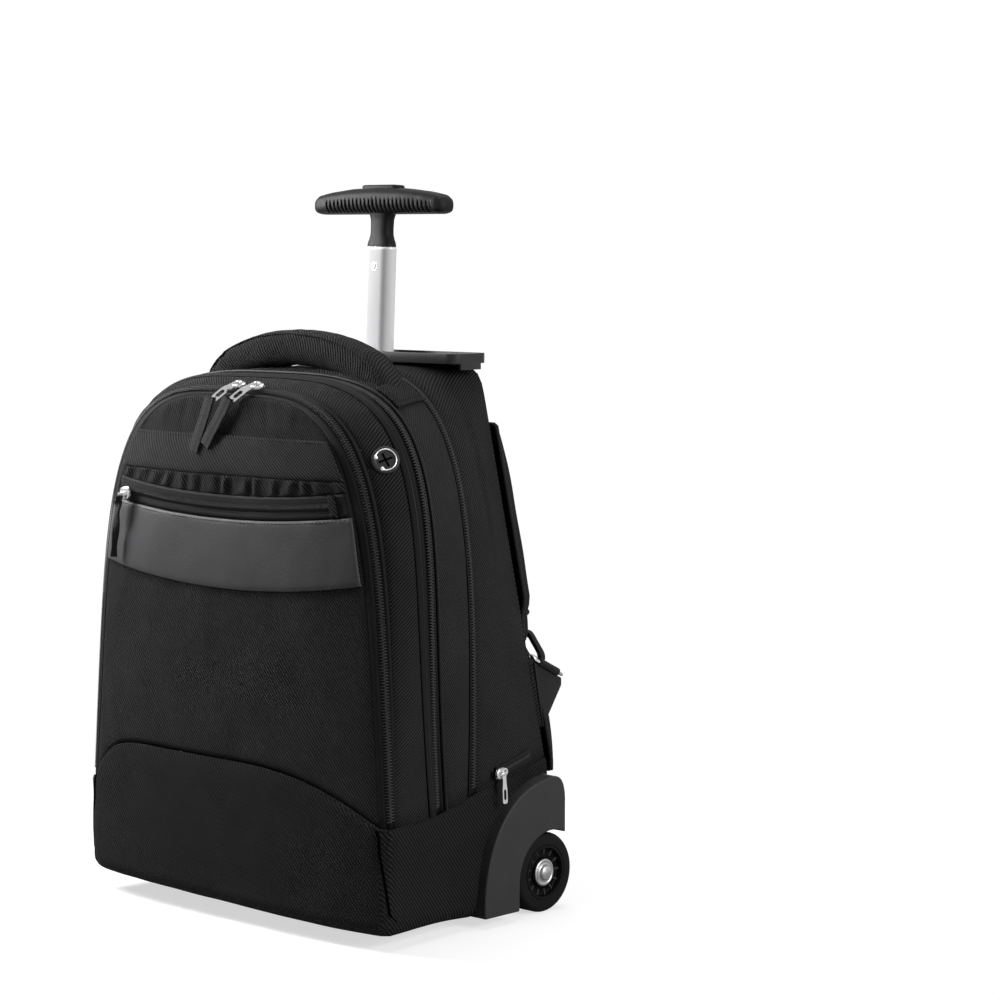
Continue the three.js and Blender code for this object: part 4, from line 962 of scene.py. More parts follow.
class BACKPACK_OT_zips(bpy.types.Operator):
    """Build the three arched zips with their tapes and coils"""

    bl_idname = "backpack.zips"
    bl_label = "Arched zips"

    def execute(self, context):
        zips = {
            "front": (beside("panel_seam", "front_zip", SEAM_GAP), on_row("front_zip"),
                      beside("front_zip", "middle_zip", FRONT_TAPE), 0.0),
            "middle": (beside("middle_zip", "front_zip", MIDDLE_TAPE), on_row("middle_zip"),
                       beside("middle_zip", "rear_zip", MIDDLE_TAPE), 0.4),
            "rear": (beside("rear_zip", "middle_zip", REAR_TAPE), on_row("rear_zip"),
                     beside("rear_zip", "back", REAR_TAPE), -0.3),
        }
        for name, (before, middle, after, sink) in zips.items():
            halves = []
            for side, (start, end) in enumerate(((before, middle), (middle, after))):
                def relief(along, share, width, side=side):
                    gap = (1 - share if side == 0 else share) * width
                    rim = (share if side == 0 else 1 - share) * width
                    return (-sink - 1.9 * math.exp(-(gap / 4.2) ** 6)
                            + 0.5 * math.exp(-((gap - 5.6) / 0.9) ** 2) + edge_roll(rim, 0.9, 1.0))
                halves.append(strip_grid((start, end), 150, spread(12), relief))
            grid = [a[:-1] + [a[-1].lerp(b[0], 0.5)] + b[1:] for a, b in zip(*halves)]
            flat = new_piece(f"zip_{name}_tape", grid_mesh(f"zip_{name}_tape", grid), tape(),
                             replaced=[f"zip_{name}"])
            give_wall(flat, 1.2)
            normal = outward_of(before, after)
            spots = [lerp(-0.995, 0.995, t) for t in spread(260)]
            lift, reach = (0.1, 3.5) if name == "rear" else (-0.7 - sink, 3.1)
            line = [(middle(a) + normal(a) * lift, normal(a)) for a in spots]
            new_piece(f"zip_{name}_teeth", teeth_mesh(f"zip_{name}_teeth", line, reach), coil_look())
        return {"FINISHED"}


class BACKPACK_OT_gussets(bpy.types.Operator):
    """Build the strips of cloth between the zips, with the pipings"""

    bl_idname = "backpack.gussets"
    bl_label = "Gussets and piping"

    def execute(self, context):
        puff = sizes().gusset_puff * 1000

        def wrinkled(height, size):
            base = puffed(height)

            def relief(along, share, width):
                edge = min(share, 1 - share) * width
                spot = Vector((along * 22, share * 1.2, size))
                return base(along, share, width) + clamp(edge / 8) * 0.9 * noise.noise(spot)
            return relief
        strip_piece("front_gusset_cloth", (
            beside("front_zip", "middle_zip", FRONT_TAPE + SEAM_GAP),
            beside("middle_zip", "front_zip", PIPED_EDGE)),
            twill(), 1.6, wrinkled(puff, 1.0), ["front_gusset"])
        for other in ("front_zip", "rear_zip"):
            strip_piece(f"seam_lining_{other}", (
                beside("middle_zip", other, MIDDLE_TAPE - 1.5),
                beside("middle_zip", other, PIPED_EDGE + 2.5)),
                tape(), 0.8, lambda along, share, width: -1.8, (), columns=4)
        strip_piece("middle_gusset_cloth", (
            beside("middle_zip", "rear_zip", PIPED_EDGE),
            beside("rear_zip", "middle_zip", REAR_TAPE + SEAM_GAP)),
            twill(), 1.6, wrinkled(puff, 4.0), ["middle_gusset"])
        for name, neighbour in (("front", "front_zip"), ("rear", "rear_zip")):
            line = beside("middle_zip", neighbour, PIPING_PLACE)
            normal = outward_of(on_row("middle_zip"), line)
            sign = 1 if neighbour == "rear_zip" else -1
            points = arch_line(line, normal, 0.5 * sign)
            new_piece(f"piping_{name}_cord", tube_mesh(f"piping_{name}_cord", points, 1.5, 10),
                      piping_look(), replaced=[f"piping_{name}"])
        return {"FINISHED"}


# The stiff panel's soft creases behind the rear zip: place along the arch, share across,
# reach along, reach across, depth
SIDE_CREASES = [
    (0.60, 0.42, 0.16, 0.05, -1.8), (0.60, 0.55, 0.16, 0.06, 1.2),
    (0.86, 0.55, 0.10, 0.20, -1.2), (0.95, 0.30, 0.05, 0.25, 0.9),
]


class BACKPACK_OT_rear_section(bpy.types.Operator):
    """Build the cloth behind the rear zip and the back face"""

    bl_idname = "backpack.rear_section"
    bl_label = "Rear section"

    def execute(self, context):
        puff = sizes().side_puff * 1000

        def relief(along, share, width):
            side = min(abs(along) * 1.4, 1) ** 2
            edge = min(share, 1 - share) * width
            total = puff * side * 4 * share * (1 - share) + edge_roll(share * width)
            for place, over, reach, span, depth in SIDE_CREASES:
                total += depth * math.exp(
                    -((abs(along) - place) / reach) ** 2 - ((share - over) / span) ** 2)
            spot = Vector((along * 16, share * 2.2, 7.0))
            return total + clamp(edge / 12) * side * 1.1 * noise.noise(spot)
        cloth = strip_piece("rear_section_cloth", (
            beside("rear_zip", "back", REAR_TAPE + SEAM_GAP), on_row("back")),
            twill(), 1.6, relief, ["rear_section"], columns=20)
        wide, deep = POLE_WIDTH / 2 + 4.4, POLE_THICKNESS / 2 + 4.4
        corners = [on_pole(0, y, z) for y, z in ((-deep, -30), (deep, -30), (deep, 3), (-deep, 3))]
        cutter = loose_object("pole_cutter", slab_mesh(
            "pole_cutter", [Vector((p.y, p.z)) for p in corners], -wide, wide))
        cut = cloth.modifiers.new("Pole opening", "BOOLEAN")
        cut.object = cutter
        cut.solver = "EXACT"
        apply_modifiers(cloth)
        bpy.data.objects.remove(cutter)
        top, low = height_mm() * ROWS["back"]["top"], height_mm() * ROWS["back"]["seam"]
        grid = []
        for t in spread(36):
            share = lerp(-1, 1, t)
            row = []
            for up in spread(40):
                point = row_at_height("back", lerp(low, top - 0.5, up))
                edge = (1 - abs(share)) * point.x
                row.append(Vector((
                    point.x * share, point.y + 2.3 + edge_roll(edge, 1.5, 2.5)
                    + clamp(edge / 10) * unevenness(Vector((share * 90, 0, point.z)), 40, 0.6),
                    point.z)))
            grid.append(row)
        back = new_piece("back_face", grid_mesh("back_face", grid, facing=Vector((0, 1, 0))),
                         twill(), replaced=["back_panel"])
        give_wall(back, 1.6)
        return {"FINISHED"}


def boot_stations():
    """Places round the base: a seam height and the point at a height, from the front's middle."""
    stations = []
    for t in spread(30):
        stations.append((front_seam_height(t), lambda h, t=t: front_point(t, h)))
    for index, name in enumerate(ROW_ORDER[:-1]):
        after = ROW_ORDER[index + 1]
        low, high = ROWS[name]["seam"] * height_mm(), ROWS[after]["seam"] * height_mm()
        for t in spread(5)[0 if index == 0 else 1:]:
            seam = lerp(low, high, t)

            def at(height, name=name, after=after, low=low, high=high, seam=seam, t=t):
                return row_at_height(name, height + low - seam).lerp(
                    row_at_height(after, height + high - seam), t)
            stations.append((seam, at))
    seam = ROWS["back"]["seam"] * height_mm()
    for t in (0.8, 0.6, 0.4, 0.2, 0.0):
        stations.append((seam, lambda h, t=t: Vector((
            row_at_height("back", h).x * t, row_at_height("back", h).y, h))))
    return stations


class BACKPACK_OT_base(bpy.types.Operator):
    """Build the heavy cloth base with its bound seam"""

    bl_idname = "backpack.base"
    bl_label = "Base"

    def execute(self, context):
        right = boot_stations()
        left = [(seam, lambda h, at=at: Vector((-at(h).x, at(h).y, at(h).z)))
                for seam, at in reversed(right[31:-1])]
        left += [(front_seam_height(-t), lambda h, t=t: front_point(-t, h))
                 for t in reversed(spread(30)[1:])]
        stations = right + left
        middle = BACK_PLANE - depth_mm() / 2
        bottom = GROUND_CLEARANCE + BOTTOM_ROUNDING

        def point_of(station, rise, inset=0.0, drop=0.0, proud=0.0):
            seam, at = station
            point = at(lerp(bottom, seam - 0.9, rise))
            wide, deep = half_width_mm(), depth_mm() / 2
            out = Vector((point.x / wide, (point.y - middle) / deep, 0)).normalized()
            lift = smooth((70 - point.z) / 60) * smooth((-40 - point.y) / 70) * lerp(
                9.0, 3.5, smooth((point.x / wide + 1) / 2))
            return Vector((
                point.x * (1 - inset / wide), middle + (point.y - middle) * (1 - inset / deep),
                point.z - drop + lift)) + out * proud

        def swell(station, rise):
            seam, at = station
            point = at(lerp(bottom, seam, rise))
            height = (1 - rise) * (seam - bottom)
            return (edge_roll(height, 1.1, 1.8) + clamp(height / 14) * (
                unevenness(point, 34, 1.1) + folds(point, BASE_FOLDS)))
        grid = []
        for station in stations:
            row = []
            for t in seam_shares(22):
                rise = 1 - t
                row.append(point_of(station, rise, proud=swell(station, rise)))
            for turn in spread(6)[1:]:
                angle = turn * math.pi / 2
                row.append(point_of(
                    station, 0, inset=BOTTOM_ROUNDING * (1 - math.cos(angle)),
                    drop=BOTTOM_ROUNDING * math.sin(angle), proud=swell(station, 0)))
            for inset in (40, 95, 170):
                row.append(point_of(station, 0, inset=min(inset, half_width_mm() * 0.97),
                                    drop=BOTTOM_ROUNDING))
            grid.append(row)
        boot = new_piece("base_cloth", grid_mesh("base_cloth", grid, closed_rows=True,
                                                 facing=Vector((0, -1, 0)), upright=True),
                         heavy_twill(), replaced=["base_boot"])
        give_wall(boot, 2.2)
        cutters = [housing_cutter(side) for side in (1, -1)]
        for cutter in cutters:
            cut = boot.modifiers.new("Wheel housing", "BOOLEAN")
            cut.object = cutter
            cut.solver = "EXACT"
        apply_modifiers(boot)
        for cutter in cutters:
            bpy.data.objects.remove(cutter)
        boot.data.set_sharp_from_angle(angle=math.radians(60))

        binding, lines = [], []
        span = stations[-30:] + stations[:51]
        for station in span:
            binding.append(point_of(station, 1.0, proud=0.4))
            lines.append((point_of(station, 0.965, proud=-0.2 + swell(station, 0.965) * 0.4),
                          point_of(station, 1.0, proud=5) - point_of(station, 1.0)))
        new_piece("base_binding", tube_mesh("base_binding", binding, 1.2, 6), heavy_twill())
        # Black tubes along the base's corner seams: painted shadow of the seam grooves
        corners = []
        for side in (1, -1):
            groove_shadow = []
            for t in spread(40):
                place, rise = 29.6 + 7 * t, lerp(0.98, 0, t)
                pair_of = [stations[side * (math.floor(place) + k)] for k in (0, 1)]
                ends = [point_of(station, rise, proud=1.5 + swell(station, rise))
                        for station in pair_of]
                groove_shadow.append(ends[0].lerp(ends[1], place % 1))
            corners.append(tube_mesh("corner", groove_shadow, 1.3, 8))
        new_piece("base_corner_groove_shadows", merged("base_corner_groove_shadows", corners), painted_shade_black())
        new_piece("base_stitches", stitch_mesh("base_stitches", [lines]), thread())
        return {"FINISHED"}


BASE_FOLDS = [
    ((-150, 90), (-110, 40), 10, 1.0), ((60, 118), (120, 60), 12, -1.2),
    ((-40, 120), (20, 60), 16, 0.8), ((165, 80), (172, 40), 9, -0.9),
]


def apply_modifiers(piece):
    """Puts a piece's modifiers into its mesh."""
    depsgraph = bpy.context.evaluated_depsgraph_get()
    mesh = bpy.data.meshes.new_from_object(piece.evaluated_get(depsgraph))
    name = piece.data.name
    old = piece.data
    piece.modifiers.clear()
    piece.data = mesh
    bpy.data.meshes.remove(old)
    mesh.name = name


# Wheel housings and wheels

HOUSING = dict(outer=175.0, inner=139.0, wall=6.5, floor=8.0, top=111.5, front=-58.5, back=36.7,
               arch_radius=38.0, arch_height=30.0)
WHEEL_RADIUS, WHEEL_MIDDLE = 32.5, 158.0


def bezier(points, steps):
    line = []
    for t in spread(steps):
        layer = list(points)
        while len(layer) > 1:
            layer = [a.lerp(b, t) for a, b in zip(layer, layer[1:])]
        line.append(layer[0])
    return line


def housing_outline(grow=0.0):
    """The housing's outline in y and z, from the foot of its front edge round to its back."""
    rise = HOUSING["top"] - HOUSING["floor"]
    reach = HOUSING["back"] - HOUSING["front"]
    front, back = HOUSING["front"] - grow, HOUSING["back"] + grow
    floor, top = HOUSING["floor"] - grow, HOUSING["top"] + grow
    line = [Vector((front, floor))]
    line += bezier([
        Vector((front, floor + rise * 0.16)), Vector((front + reach * 0.06, floor + rise * 0.72)),
        Vector((front + reach * 0.4, top - rise * 0.02)), Vector((back - reach * 0.14, top))], 26)
    line += bezier([
        Vector((back - reach * 0.14, top)), Vector((back - reach * 0.01, top)),
        Vector((back, top - rise * 0.18))], 8)[1:]
    line.append(Vector((back, floor)))
    return line


def slab_mesh(name, outline, start, end):
    """An outline in y and z made solid between two places along x."""
    mesh = bpy.data.meshes.new(name)
    count = len(outline)
    verts = [world((x, p.x, p.y)) for x in (start, end) for p in outline]
    faces = [tuple(range(count)), tuple(count + i for i in reversed(range(count)))]
    faces += [(i, count + i, count + (i + 1) % count, (i + 1) % count) for i in range(count)]
    mesh.from_pydata(verts, [], faces)
    mesh.uv_layers.new(name="weave")
    shape = bmesh.new()
    shape.from_mesh(mesh)
    bmesh.ops.recalc_face_normals(shape, faces=shape.faces)
    shape.to_mesh(mesh)
    shape.free()
    return mesh


def loose_object(name, mesh):
    piece = bpy.data.objects.new(name, mesh)
    bpy.context.scene.collection.objects.link(piece)
    return piece


def housing_cutter(side):
    start, end = side * (HOUSING["inner"] - SEAM_GAP), side * (HOUSING["outer"] + 60)
    return loose_object("housing_cutter", slab_mesh("housing_cutter", housing_outline(0.4), start, end))


def round_edges(piece, width, segments=3, angle=35):
    """Rounded edges, a width in millimetres, with shading that keeps flat faces flat."""
    rounding = piece.modifiers.new("Rounded edges", "BEVEL")
    rounding.width = width / 1000
    rounding.segments = segments
    rounding.limit_method = "ANGLE"
    rounding.angle_limit = math.radians(angle)
    rounding.harden_normals = True
    return rounding


def cad_copy(node, name):
    """A mesh like a CAD node's, with its points merged and flat faces made whole."""
    mesh = frame["nodes"][node].data.copy()
    mesh.name = name
    mesh.materials.clear()
    shape = bmesh.new()
    shape.from_mesh(mesh)
    bmesh.ops.remove_doubles(shape, verts=shape.verts, dist=2e-6)
    bmesh.ops.dissolve_limit(
        shape, angle_limit=math.radians(1.0), verts=shape.verts, edges=shape.edges)
    for layer in list(shape.loops.layers.uv.values()):
        shape.loops.layers.uv.remove(layer)
    shape.loops.layers.uv.new("weave")
    shape.to_mesh(mesh)
    shape.free()
    mesh.polygons.foreach_set("use_smooth", [True] * len(mesh.polygons))
    return mesh


def hard_copy(node, name, material, body, bevel, angle=35):
    """A piece with rounded edges that stands for a CAD node of hard material."""
    piece = new_piece(name, cad_copy(node, name), material, body, [node])
    round_edges(piece, bevel, 3, angle)
    return piece


def rounded_ring(width, height, power, sides):
    """Points of a rounded rectangle about the origin."""
    points = []
    for i in range(sides):
        turn = 2 * math.pi * (i + 0.5) / sides
        c, s = math.cos(turn), math.sin(turn)
        points.append((math.copysign(abs(c) ** (2 / power), c) * width / 2,
                       math.copysign(abs(s) ** (2 / power), s) * height / 2))
    return points


def stadium(width, height, steps=12):
    """Points of a shape with two straight sides and two half-round ends."""
    radius, reach = height / 2, (width - height) / 2
    return [(side * reach + radius * math.cos(turn), radius * math.sin(turn))
            for side, start in ((1, -math.pi / 2), (-1, math.pi / 2))
            for turn in (start + math.pi * k / steps for k in range(steps + 1))]


def between(table, place, key):
    """A value of a table whose rows are in the order of their place, eased between rows."""
    rows = sorted(table, key=lambda row: row["place"])
    if place <= rows[0]["place"]:
        return rows[0][key]
    for low, high in zip(rows, rows[1:]):
        if place <= high["place"]:
            share = (place - low["place"]) / (high["place"] - low["place"])
            return lerp(low[key], high[key], share)
    return rows[-1][key]


def eased(table, place, key, window=0.06):
    """The same value, averaged over a stretch, so that no corner of the table shows."""
    spots = (-1, -0.5, 0, 0.5, 1)
    return sum(between(table, place + spot * window, key) for spot in spots) / len(spots)


# Pull handle

POLE_LEAN = math.radians(2.7)
POLE_WIDTH, POLE_THICKNESS, TUBE_WALL = 28.0, 16.0, 1.2
POLE_RISE, INNER_TUBE_LENGTH = 85.0, 370.0
GRIP_RISE, GRIP_HALF_LENGTH, GRIP_HEIGHT, GRIP_HALF_DEPTH = 112.0, 74.0, 23.0, 13.0
RIVET_DROP, RIVET_RADIUS = 16.0, 2.6
BUTTON_HALF_LENGTH, BUTTON_HALF_WIDTH, BUTTON_PROUD = 22.0, 6.5, 4.4
RIB_PITCH, RIB_DEPTH = 4.6, 2.2

GRIP_SHAPE = [
    dict(place=0.0, top=0.95, under=0.0, depth=1.0), dict(place=0.4, top=0.92, under=0.0, depth=0.97),
    dict(place=0.75, top=0.8, under=0.0, depth=0.9), dict(place=0.92, top=0.7, under=0.0, depth=0.8),
    dict(place=0.98, top=0.58, under=0.04, depth=0.66), dict(place=1.0, top=0.44, under=0.12, depth=0.45),
]
NECK_SHAPE = [
    dict(place=0.3, width=26.4, thick=15.0), dict(place=3.0, width=26.0, thick=14.8),
    dict(place=6.0, width=23.0, thick=13.9), dict(place=10.0, width=20.2, thick=13.1),
    dict(place=15.0, width=19.8, thick=13.0), dict(place=23.0, width=20.4, thick=13.2),
    dict(place=28.0, width=24.0, thick=15.0), dict(place=33.0, width=30.0, thick=17.0),
]


def on_pole(x, y, z):
    """A point drawn about the pole's axis, z above the top of the plate."""
    c, s = math.cos(POLE_LEAN), math.sin(POLE_LEAN)
    return Vector((x, y * c + z * s, height_mm() - y * s + z * c))


def tube_shell(name, low, high):
    """A tube of the pole with a thin rolled rim."""
    rows = [(0.0, low), (0.0, high - 2.6), (0.35, high - 2.3), (0.45, high - 1.2), (0.2, high - 0.15),
            (-0.4, high), (-1.0, high - 0.3), (-TUBE_WALL, high - 1.2), (-TUBE_WALL, low)]
    rings = []
    for grow, z in rows:
        shape = stadium(POLE_WIDTH + 2 * grow, POLE_THICKNESS + 2 * grow)
        rings.append([on_pole(x, y, z) for x, y in shape])
    return loft_mesh(name, rings, looped=True)


def grip_mesh(name):
    base = GRIP_RISE
    steps = 300
    rings = []
    for k in spread(steps):
        place = math.sin(lerp(-0.5, 0.5, k) * math.pi) * 0.35 + lerp(-1, 1, k) * 0.65
        far = abs(place)
        low = base + GRIP_HEIGHT * eased(GRIP_SHAPE, far, "under", 0.015)
        high = base + GRIP_HEIGHT * eased(GRIP_SHAPE, far, "top", 0.05 if far < 0.9 else 0.012)
        deep = GRIP_HALF_DEPTH * 2 * eased(GRIP_SHAPE, far, "depth", 0.012)
        ring = []
        for a, b in rounded_ring(deep, high - low, 2.9, 36):
            x = GRIP_HALF_LENGTH * place
            up = b / (high - low) + 0.5
            front = clamp((-a / (deep / 2) - 0.2) * 3)
            band = smooth((0.5 - up) * 12) * smooth((up - 0.04) * 14) * smooth(
                (x + 57) / 2) * smooth((65 - x) / 2)
            groove = smooth((math.cos(2 * math.pi * (x + b * 0.15) / RIB_PITCH) - 0.1) * 1.8)
            a += front * band * RIB_DEPTH * groove
            ring.append(on_pole(x, a, (low + high) / 2 + b))
        rings.append(ring)
    bar = loft_mesh(name + "_bar", rings)
    neck = loft_mesh(name + "_neck", [
        [on_pole(a, b, POLE_RISE + z) for a, b in rounded_ring(
            eased(NECK_SHAPE, z, "width", 1.5), eased(NECK_SHAPE, z, "thick", 1.5), 3.2, 32)]
        for z in (lerp(0.3, 33, t) for t in spread(24))])
    return merged(name, [bar, neck])


def button_mesh(name):
    seat = GRIP_RISE + GRIP_HEIGHT - 4
    rows = [(0.6, 0.4, 0.0), (0.0, 0.0, 3.4), (0.1, 0.1, 4.4), (0.7, 0.6, 5.0), (2.0, 1.8, 5.3),
            (5.0, 3.4, 5.4)]
    rings = []
    for inset, pinch, z in rows:
        ring = []
        for x, y in stadium(2 * (BUTTON_HALF_LENGTH - inset), 2 * (BUTTON_HALF_WIDTH - pinch)):
            sag = 0.4 * (x / BUTTON_HALF_LENGTH) ** 2 if z > 1 else 0
            ring.append(on_pole(x, y, seat + z - sag))
        rings.append(ring)
    return loft_mesh(name, rings)


class BACKPACK_OT_pull_handle(bpy.types.Operator):
    """Build the telescopic pull handle with its ribbed grip, button, rim and rivet"""

    bl_idname = "backpack.pull_handle"
    bl_label = "Pull handle"

    def execute(self, context):
        for node in ("outer_tube", "middle_tube"):
            frame["nodes"][node].data.materials.clear()
            frame["nodes"][node].data.materials.append(tube_metal())
        new_piece("tube_shell", tube_shell("tube_shell", POLE_RISE - INNER_TUBE_LENGTH, POLE_RISE),
                  tube_metal(), "handle", ["inner_tube"])
        place = on_pole(0, -POLE_THICKNESS / 2, POLE_RISE - RIVET_DROP)
        out = on_pole(0, -1, 0) - on_pole(0, 0, 0)
        profile = [(0.001, 0.4), (1.2, 0.37), (2.0, 0.3), (2.5, 0.1), (2.7, 0.0), (2.7, -1.0),
                   (0.001, -1.0)]
        new_piece("rivet_head", turned_mesh("rivet_head", profile, place, out, 32), metal(),
                  "handle", ["tube_rivet"])
        ring = [(2.8, -0.5), (2.8, 0.1), (3.0, 0.22), (3.5, 0.16), (3.6, -0.1), (3.6, -0.5)]
        new_piece("rivet_shadow", turned_mesh("rivet_shadow", ring, place, out, 32, looped=True),
                  hub_metal(), "handle")
        new_piece("ribbed_grip", grip_mesh("ribbed_grip"), soft_plastic(), "handle", ["grip"])
        new_piece("thumb_button", button_mesh("thumb_button"), soft_plastic(), "button",
                  ["grip_button"])
        return {"FINISHED"}


def turned_mesh(name, profile, centre, axis, steps=64, looped=False):
    """A body turned about an axis: profile rows are a radius and a distance along the axis."""
    axis = Vector(axis).normalized()
    side = axis.cross(Vector((0, 0, 1)))
    side = side.normalized() if side.length > 0.1 else Vector((1, 0, 0))
    up = side.cross(axis)
    rings = []
    for radius, reach in profile:
        rings.append([centre + axis * reach
                      + side * (radius * math.cos(2 * math.pi * t / steps))
                      + up * (radius * math.sin(2 * math.pi * t / steps)) for t in range(steps)])
    return loft_mesh(name, rings, looped)


class BACKPACK_OT_top_plate(bpy.types.Operator):
    """Round off the top plate and the foot bar"""

    bl_idname = "backpack.top_plate"
    bl_label = "Top plate and foot"

    def execute(self, context):
        hard_copy("top_plate", "plate_moulding", plastic(), "bag", 1.3)
        hard_copy("front_foot", "foot_bar", plastic(), "bag", 1.6)
        return {"FINISHED"}


# Grab handle

HANDLE_PLACE, HANDLE_REACH, HANDLE_WIDTH, HANDLE_THICKNESS, HANDLE_RISE = -86.0, 104.0, 31.0, 23.0, 19.0
HANDLE_SHAPE = [
    dict(place=1.0, height=0.0, width=0.8, thick=0.62),
    dict(place=0.985, height=0.12, width=0.82, thick=0.66),
    dict(place=0.93, height=0.36, width=0.86, thick=0.78),
    dict(place=0.8, height=0.62, width=0.92, thick=0.9),
    dict(place=0.62, height=0.79, width=0.97, thick=0.97),
    dict(place=0.35, height=0.94, width=1.0, thick=1.0),
    dict(place=0.0, height=1.0, width=1.0, thick=1.0),
]


def catmull(points, share):
    """A point of a smooth curve through a list of points."""
    place = share * (len(points) - 1)
    k = min(int(place), len(points) - 2)
    t = place - k
    p1, p2 = points[k], points[k + 1]
    p0 = points[k - 1] if k else p1 * 2 - p2
    p3 = points[k + 2] if k + 2 < len(points) else p2 * 2 - p1
    return 0.5 * (p1 * 2 + (p2 - p0) * t + (p0 * 2 - p1 * 5 + p2 * 4 - p3) * t * t
                  + (p1 * 3 - p0 - p2 * 3 + p3) * t * t * t)


def handle_rings(steps, sides):
    table = HANDLE_SHAPE + [dict(row, place=-row["place"]) for row in HANDLE_SHAPE[-2::-1]]
    crown = height_mm() + HANDLE_RISE - HANDLE_THICKNESS / 2
    foot = height_mm() * ROWS["rear_zip"]["top"] * 0.93
    path = [Vector((HANDLE_REACH * row["place"], HANDLE_PLACE, lerp(foot, crown, row["height"])))
            for row in table]
    girth = [Vector((row["width"], row["thick"], 0)) for row in table]
    rings = []
    for share in spread(steps):
        low, high = max(share - 0.002, 0), min(share + 0.002, 1)
        tangent = (catmull(path, high) - catmull(path, low)).normalized()
        up = tangent.cross(Vector((0, 1, 0))).normalized()
        up = up if up.z > 0 or abs(up.z) < 0.3 else -up
        centre, size = catmull(path, share), catmull(girth, share)
        rings.append((share, centre, up, [
            (a, b, centre + Vector((0, a, 0)) + up * (b * 1.5 if b < 0 else b))
            for a, b in rounded_ring(HANDLE_WIDTH * size.x, HANDLE_THICKNESS * size.y, 2.7, sides)]))
    return rings


class BACKPACK_OT_grab_handle(bpy.types.Operator):
    """Build the padded grab handle with its piping and stitched ends"""

    bl_idname = "backpack.grab_handle"
    bl_label = "Grab handle"

    def execute(self, context):
        rings = []
        for share, centre, up, ring in handle_rings(110, 40):
            points = []
            for a, b, point in ring:
                way = (point - centre).normalized()
                spot = Vector((share * 30, a / 14, b / 14))
                points.append(point + way * (0.7 * noise.noise(spot) + 0.3 * noise.noise(spot * 3)))
            rings.append(points)
        grip = new_piece("padded_handle", loft_mesh("padded_handle", rings), twill(),
                         replaced=["grab_handle"])
        seams, lines = [], []
        for side in (-1, 1):
            line, stitches = [], []
            for share, centre, up, ring in handle_rings(150, 40):
                if 0.05 < share < 0.95:
                    spot = min(ring, key=lambda p: abs(p[0] - side * 12.4) + (0 if p[1] > 0 else 99))
                    way = (spot[2] - centre).normalized()
                    line.append(spot[2] + way * 0.3)
                    spot = min(ring, key=lambda p: abs(p[0] - side * 9.4) + (0 if p[1] > 0 else 99))
                    stitches.append((spot[2] + up * 0.35, up))
            seams.append(tube_mesh(f"seam_{side}", line, 1.0, 8))
            lines.append(stitches)
        new_piece("handle_seams", merged("handle_seams", seams), twill())
        for side in (1, -1):
            foot, lines = [], []
            for k in spread(20):
                along = side * lerp(0.325, 0.42, k)
                start, end = arch_point("middle_zip", along), arch_point("rear_zip", along)
                ahead = arch_point("middle_zip", along + 0.01)
                out = (ahead - start).cross(end - start).normalized()
                puff = sizes().gusset_puff * 1000 + 1.6
                foot.append([start.lerp(end, lerp(0.14, 0.86, t)) + out * (
                    puff + 1.2 * math.sin(math.pi * t) ** 0.3) for t in spread(12)])
            piece = new_piece(f"handle_foot_{side}", grid_mesh(f"handle_foot_{side}", foot), twill())
            give_wall(piece, 2.0)
            out = (foot[10][6] - BAG_MIDDLE).normalized()
            frame_line = [foot[17][j] for j in range(1, 12)]
            lines.append([(point + out * 0.3, out) for point in frame_line])
            for j in (1, 11):
                lines.append([(foot[i][j] + out * 0.3, out) for i in range(2, 18)])
            new_piece(f"handle_foot_stitches_{side}", stitch_mesh(
                f"handle_foot_stitches_{side}", lines), thread())
        return {"FINISHED"}


# Wheels and housings

RIB_COUNT = 13
HUB_RADIUS, CAP_RADIUS, CORE_RADIUS, CORE_WIDTH = 11.0, 6.0, 19.7, 15.0


def housing_mesh(name):
    """The housing: its outline between two planes, hollowed by the wheel's arch."""
    body = loose_object("housing_body", slab_mesh(
        "housing_body", housing_outline(), HOUSING["inner"], HOUSING["outer"]))
    arch = []
    for k in spread(40):
        turn = math.pi * k
        arch.append(Vector((
            20 + HOUSING["arch_radius"] * math.cos(turn),
            HOUSING["arch_height"] + HOUSING["arch_radius"] * math.sin(turn))))
    arch.append(Vector((20 - HOUSING["arch_radius"], -20)))
    arch.insert(0, Vector((20 + HOUSING["arch_radius"], -20)))
    cutter = loose_object("arch_cutter", slab_mesh(
        "arch_cutter", arch, HOUSING["inner"] + HOUSING["wall"], HOUSING["outer"] + 9))
    cut = body.modifiers.new("Wheel arch", "BOOLEAN")
    cut.object = cutter
    cut.solver = "EXACT"
    apply_modifiers(body)
    bpy.data.objects.remove(cutter)
    mesh = body.data
    bpy.data.objects.remove(body)
    mesh.name = name
    mesh.polygons.foreach_set("use_smooth", [True] * len(mesh.polygons))
    return mesh


def tyre_mesh(name):
    half = 10.0
    profile = [(CORE_RADIUS + 0.05, -half + 2), (CORE_RADIUS + 0.5, -half), (21.6, -half),
               (22.0, -half + 0.8), (22.5, -half + 0.8), (23.0, -half + 0.1), (28.2, -half + 0.3)]
    profile += [(28.4 + 4.1 * math.sin(t), -5.7 - 4.0 * math.cos(t)) for t in
                (math.pi / 2 * k / 6 for k in range(1, 7))]
    profile += [(32.5, 0.0)]
    profile += [(radius, -reach) for radius, reach in reversed(profile[:-1])]
    return turned_mesh(
        name, profile, Vector((WHEEL_MIDDLE, AXLE_BACK, WHEEL_RADIUS)), (1, 0, 0), 96, looped=True)


def core_mesh(name):
    """The wheel's black centre: a rim and a dish round the hub."""
    half = CORE_WIDTH / 2
    profile = [(4.7, -half), (CORE_RADIUS, -half), (CORE_RADIUS, half - 0.4), (CORE_RADIUS - 0.3, half),
               (19.0, half), (18.8, half - 1.6), (18.6, half - 1.8), (12.4, half - 1.8),
               (12.1, half - 1.5), (12.0, half), (4.7, half)]
    return turned_mesh(name, profile, Vector((WHEEL_MIDDLE, AXLE_BACK, WHEEL_RADIUS)), (1, 0, 0), 96)


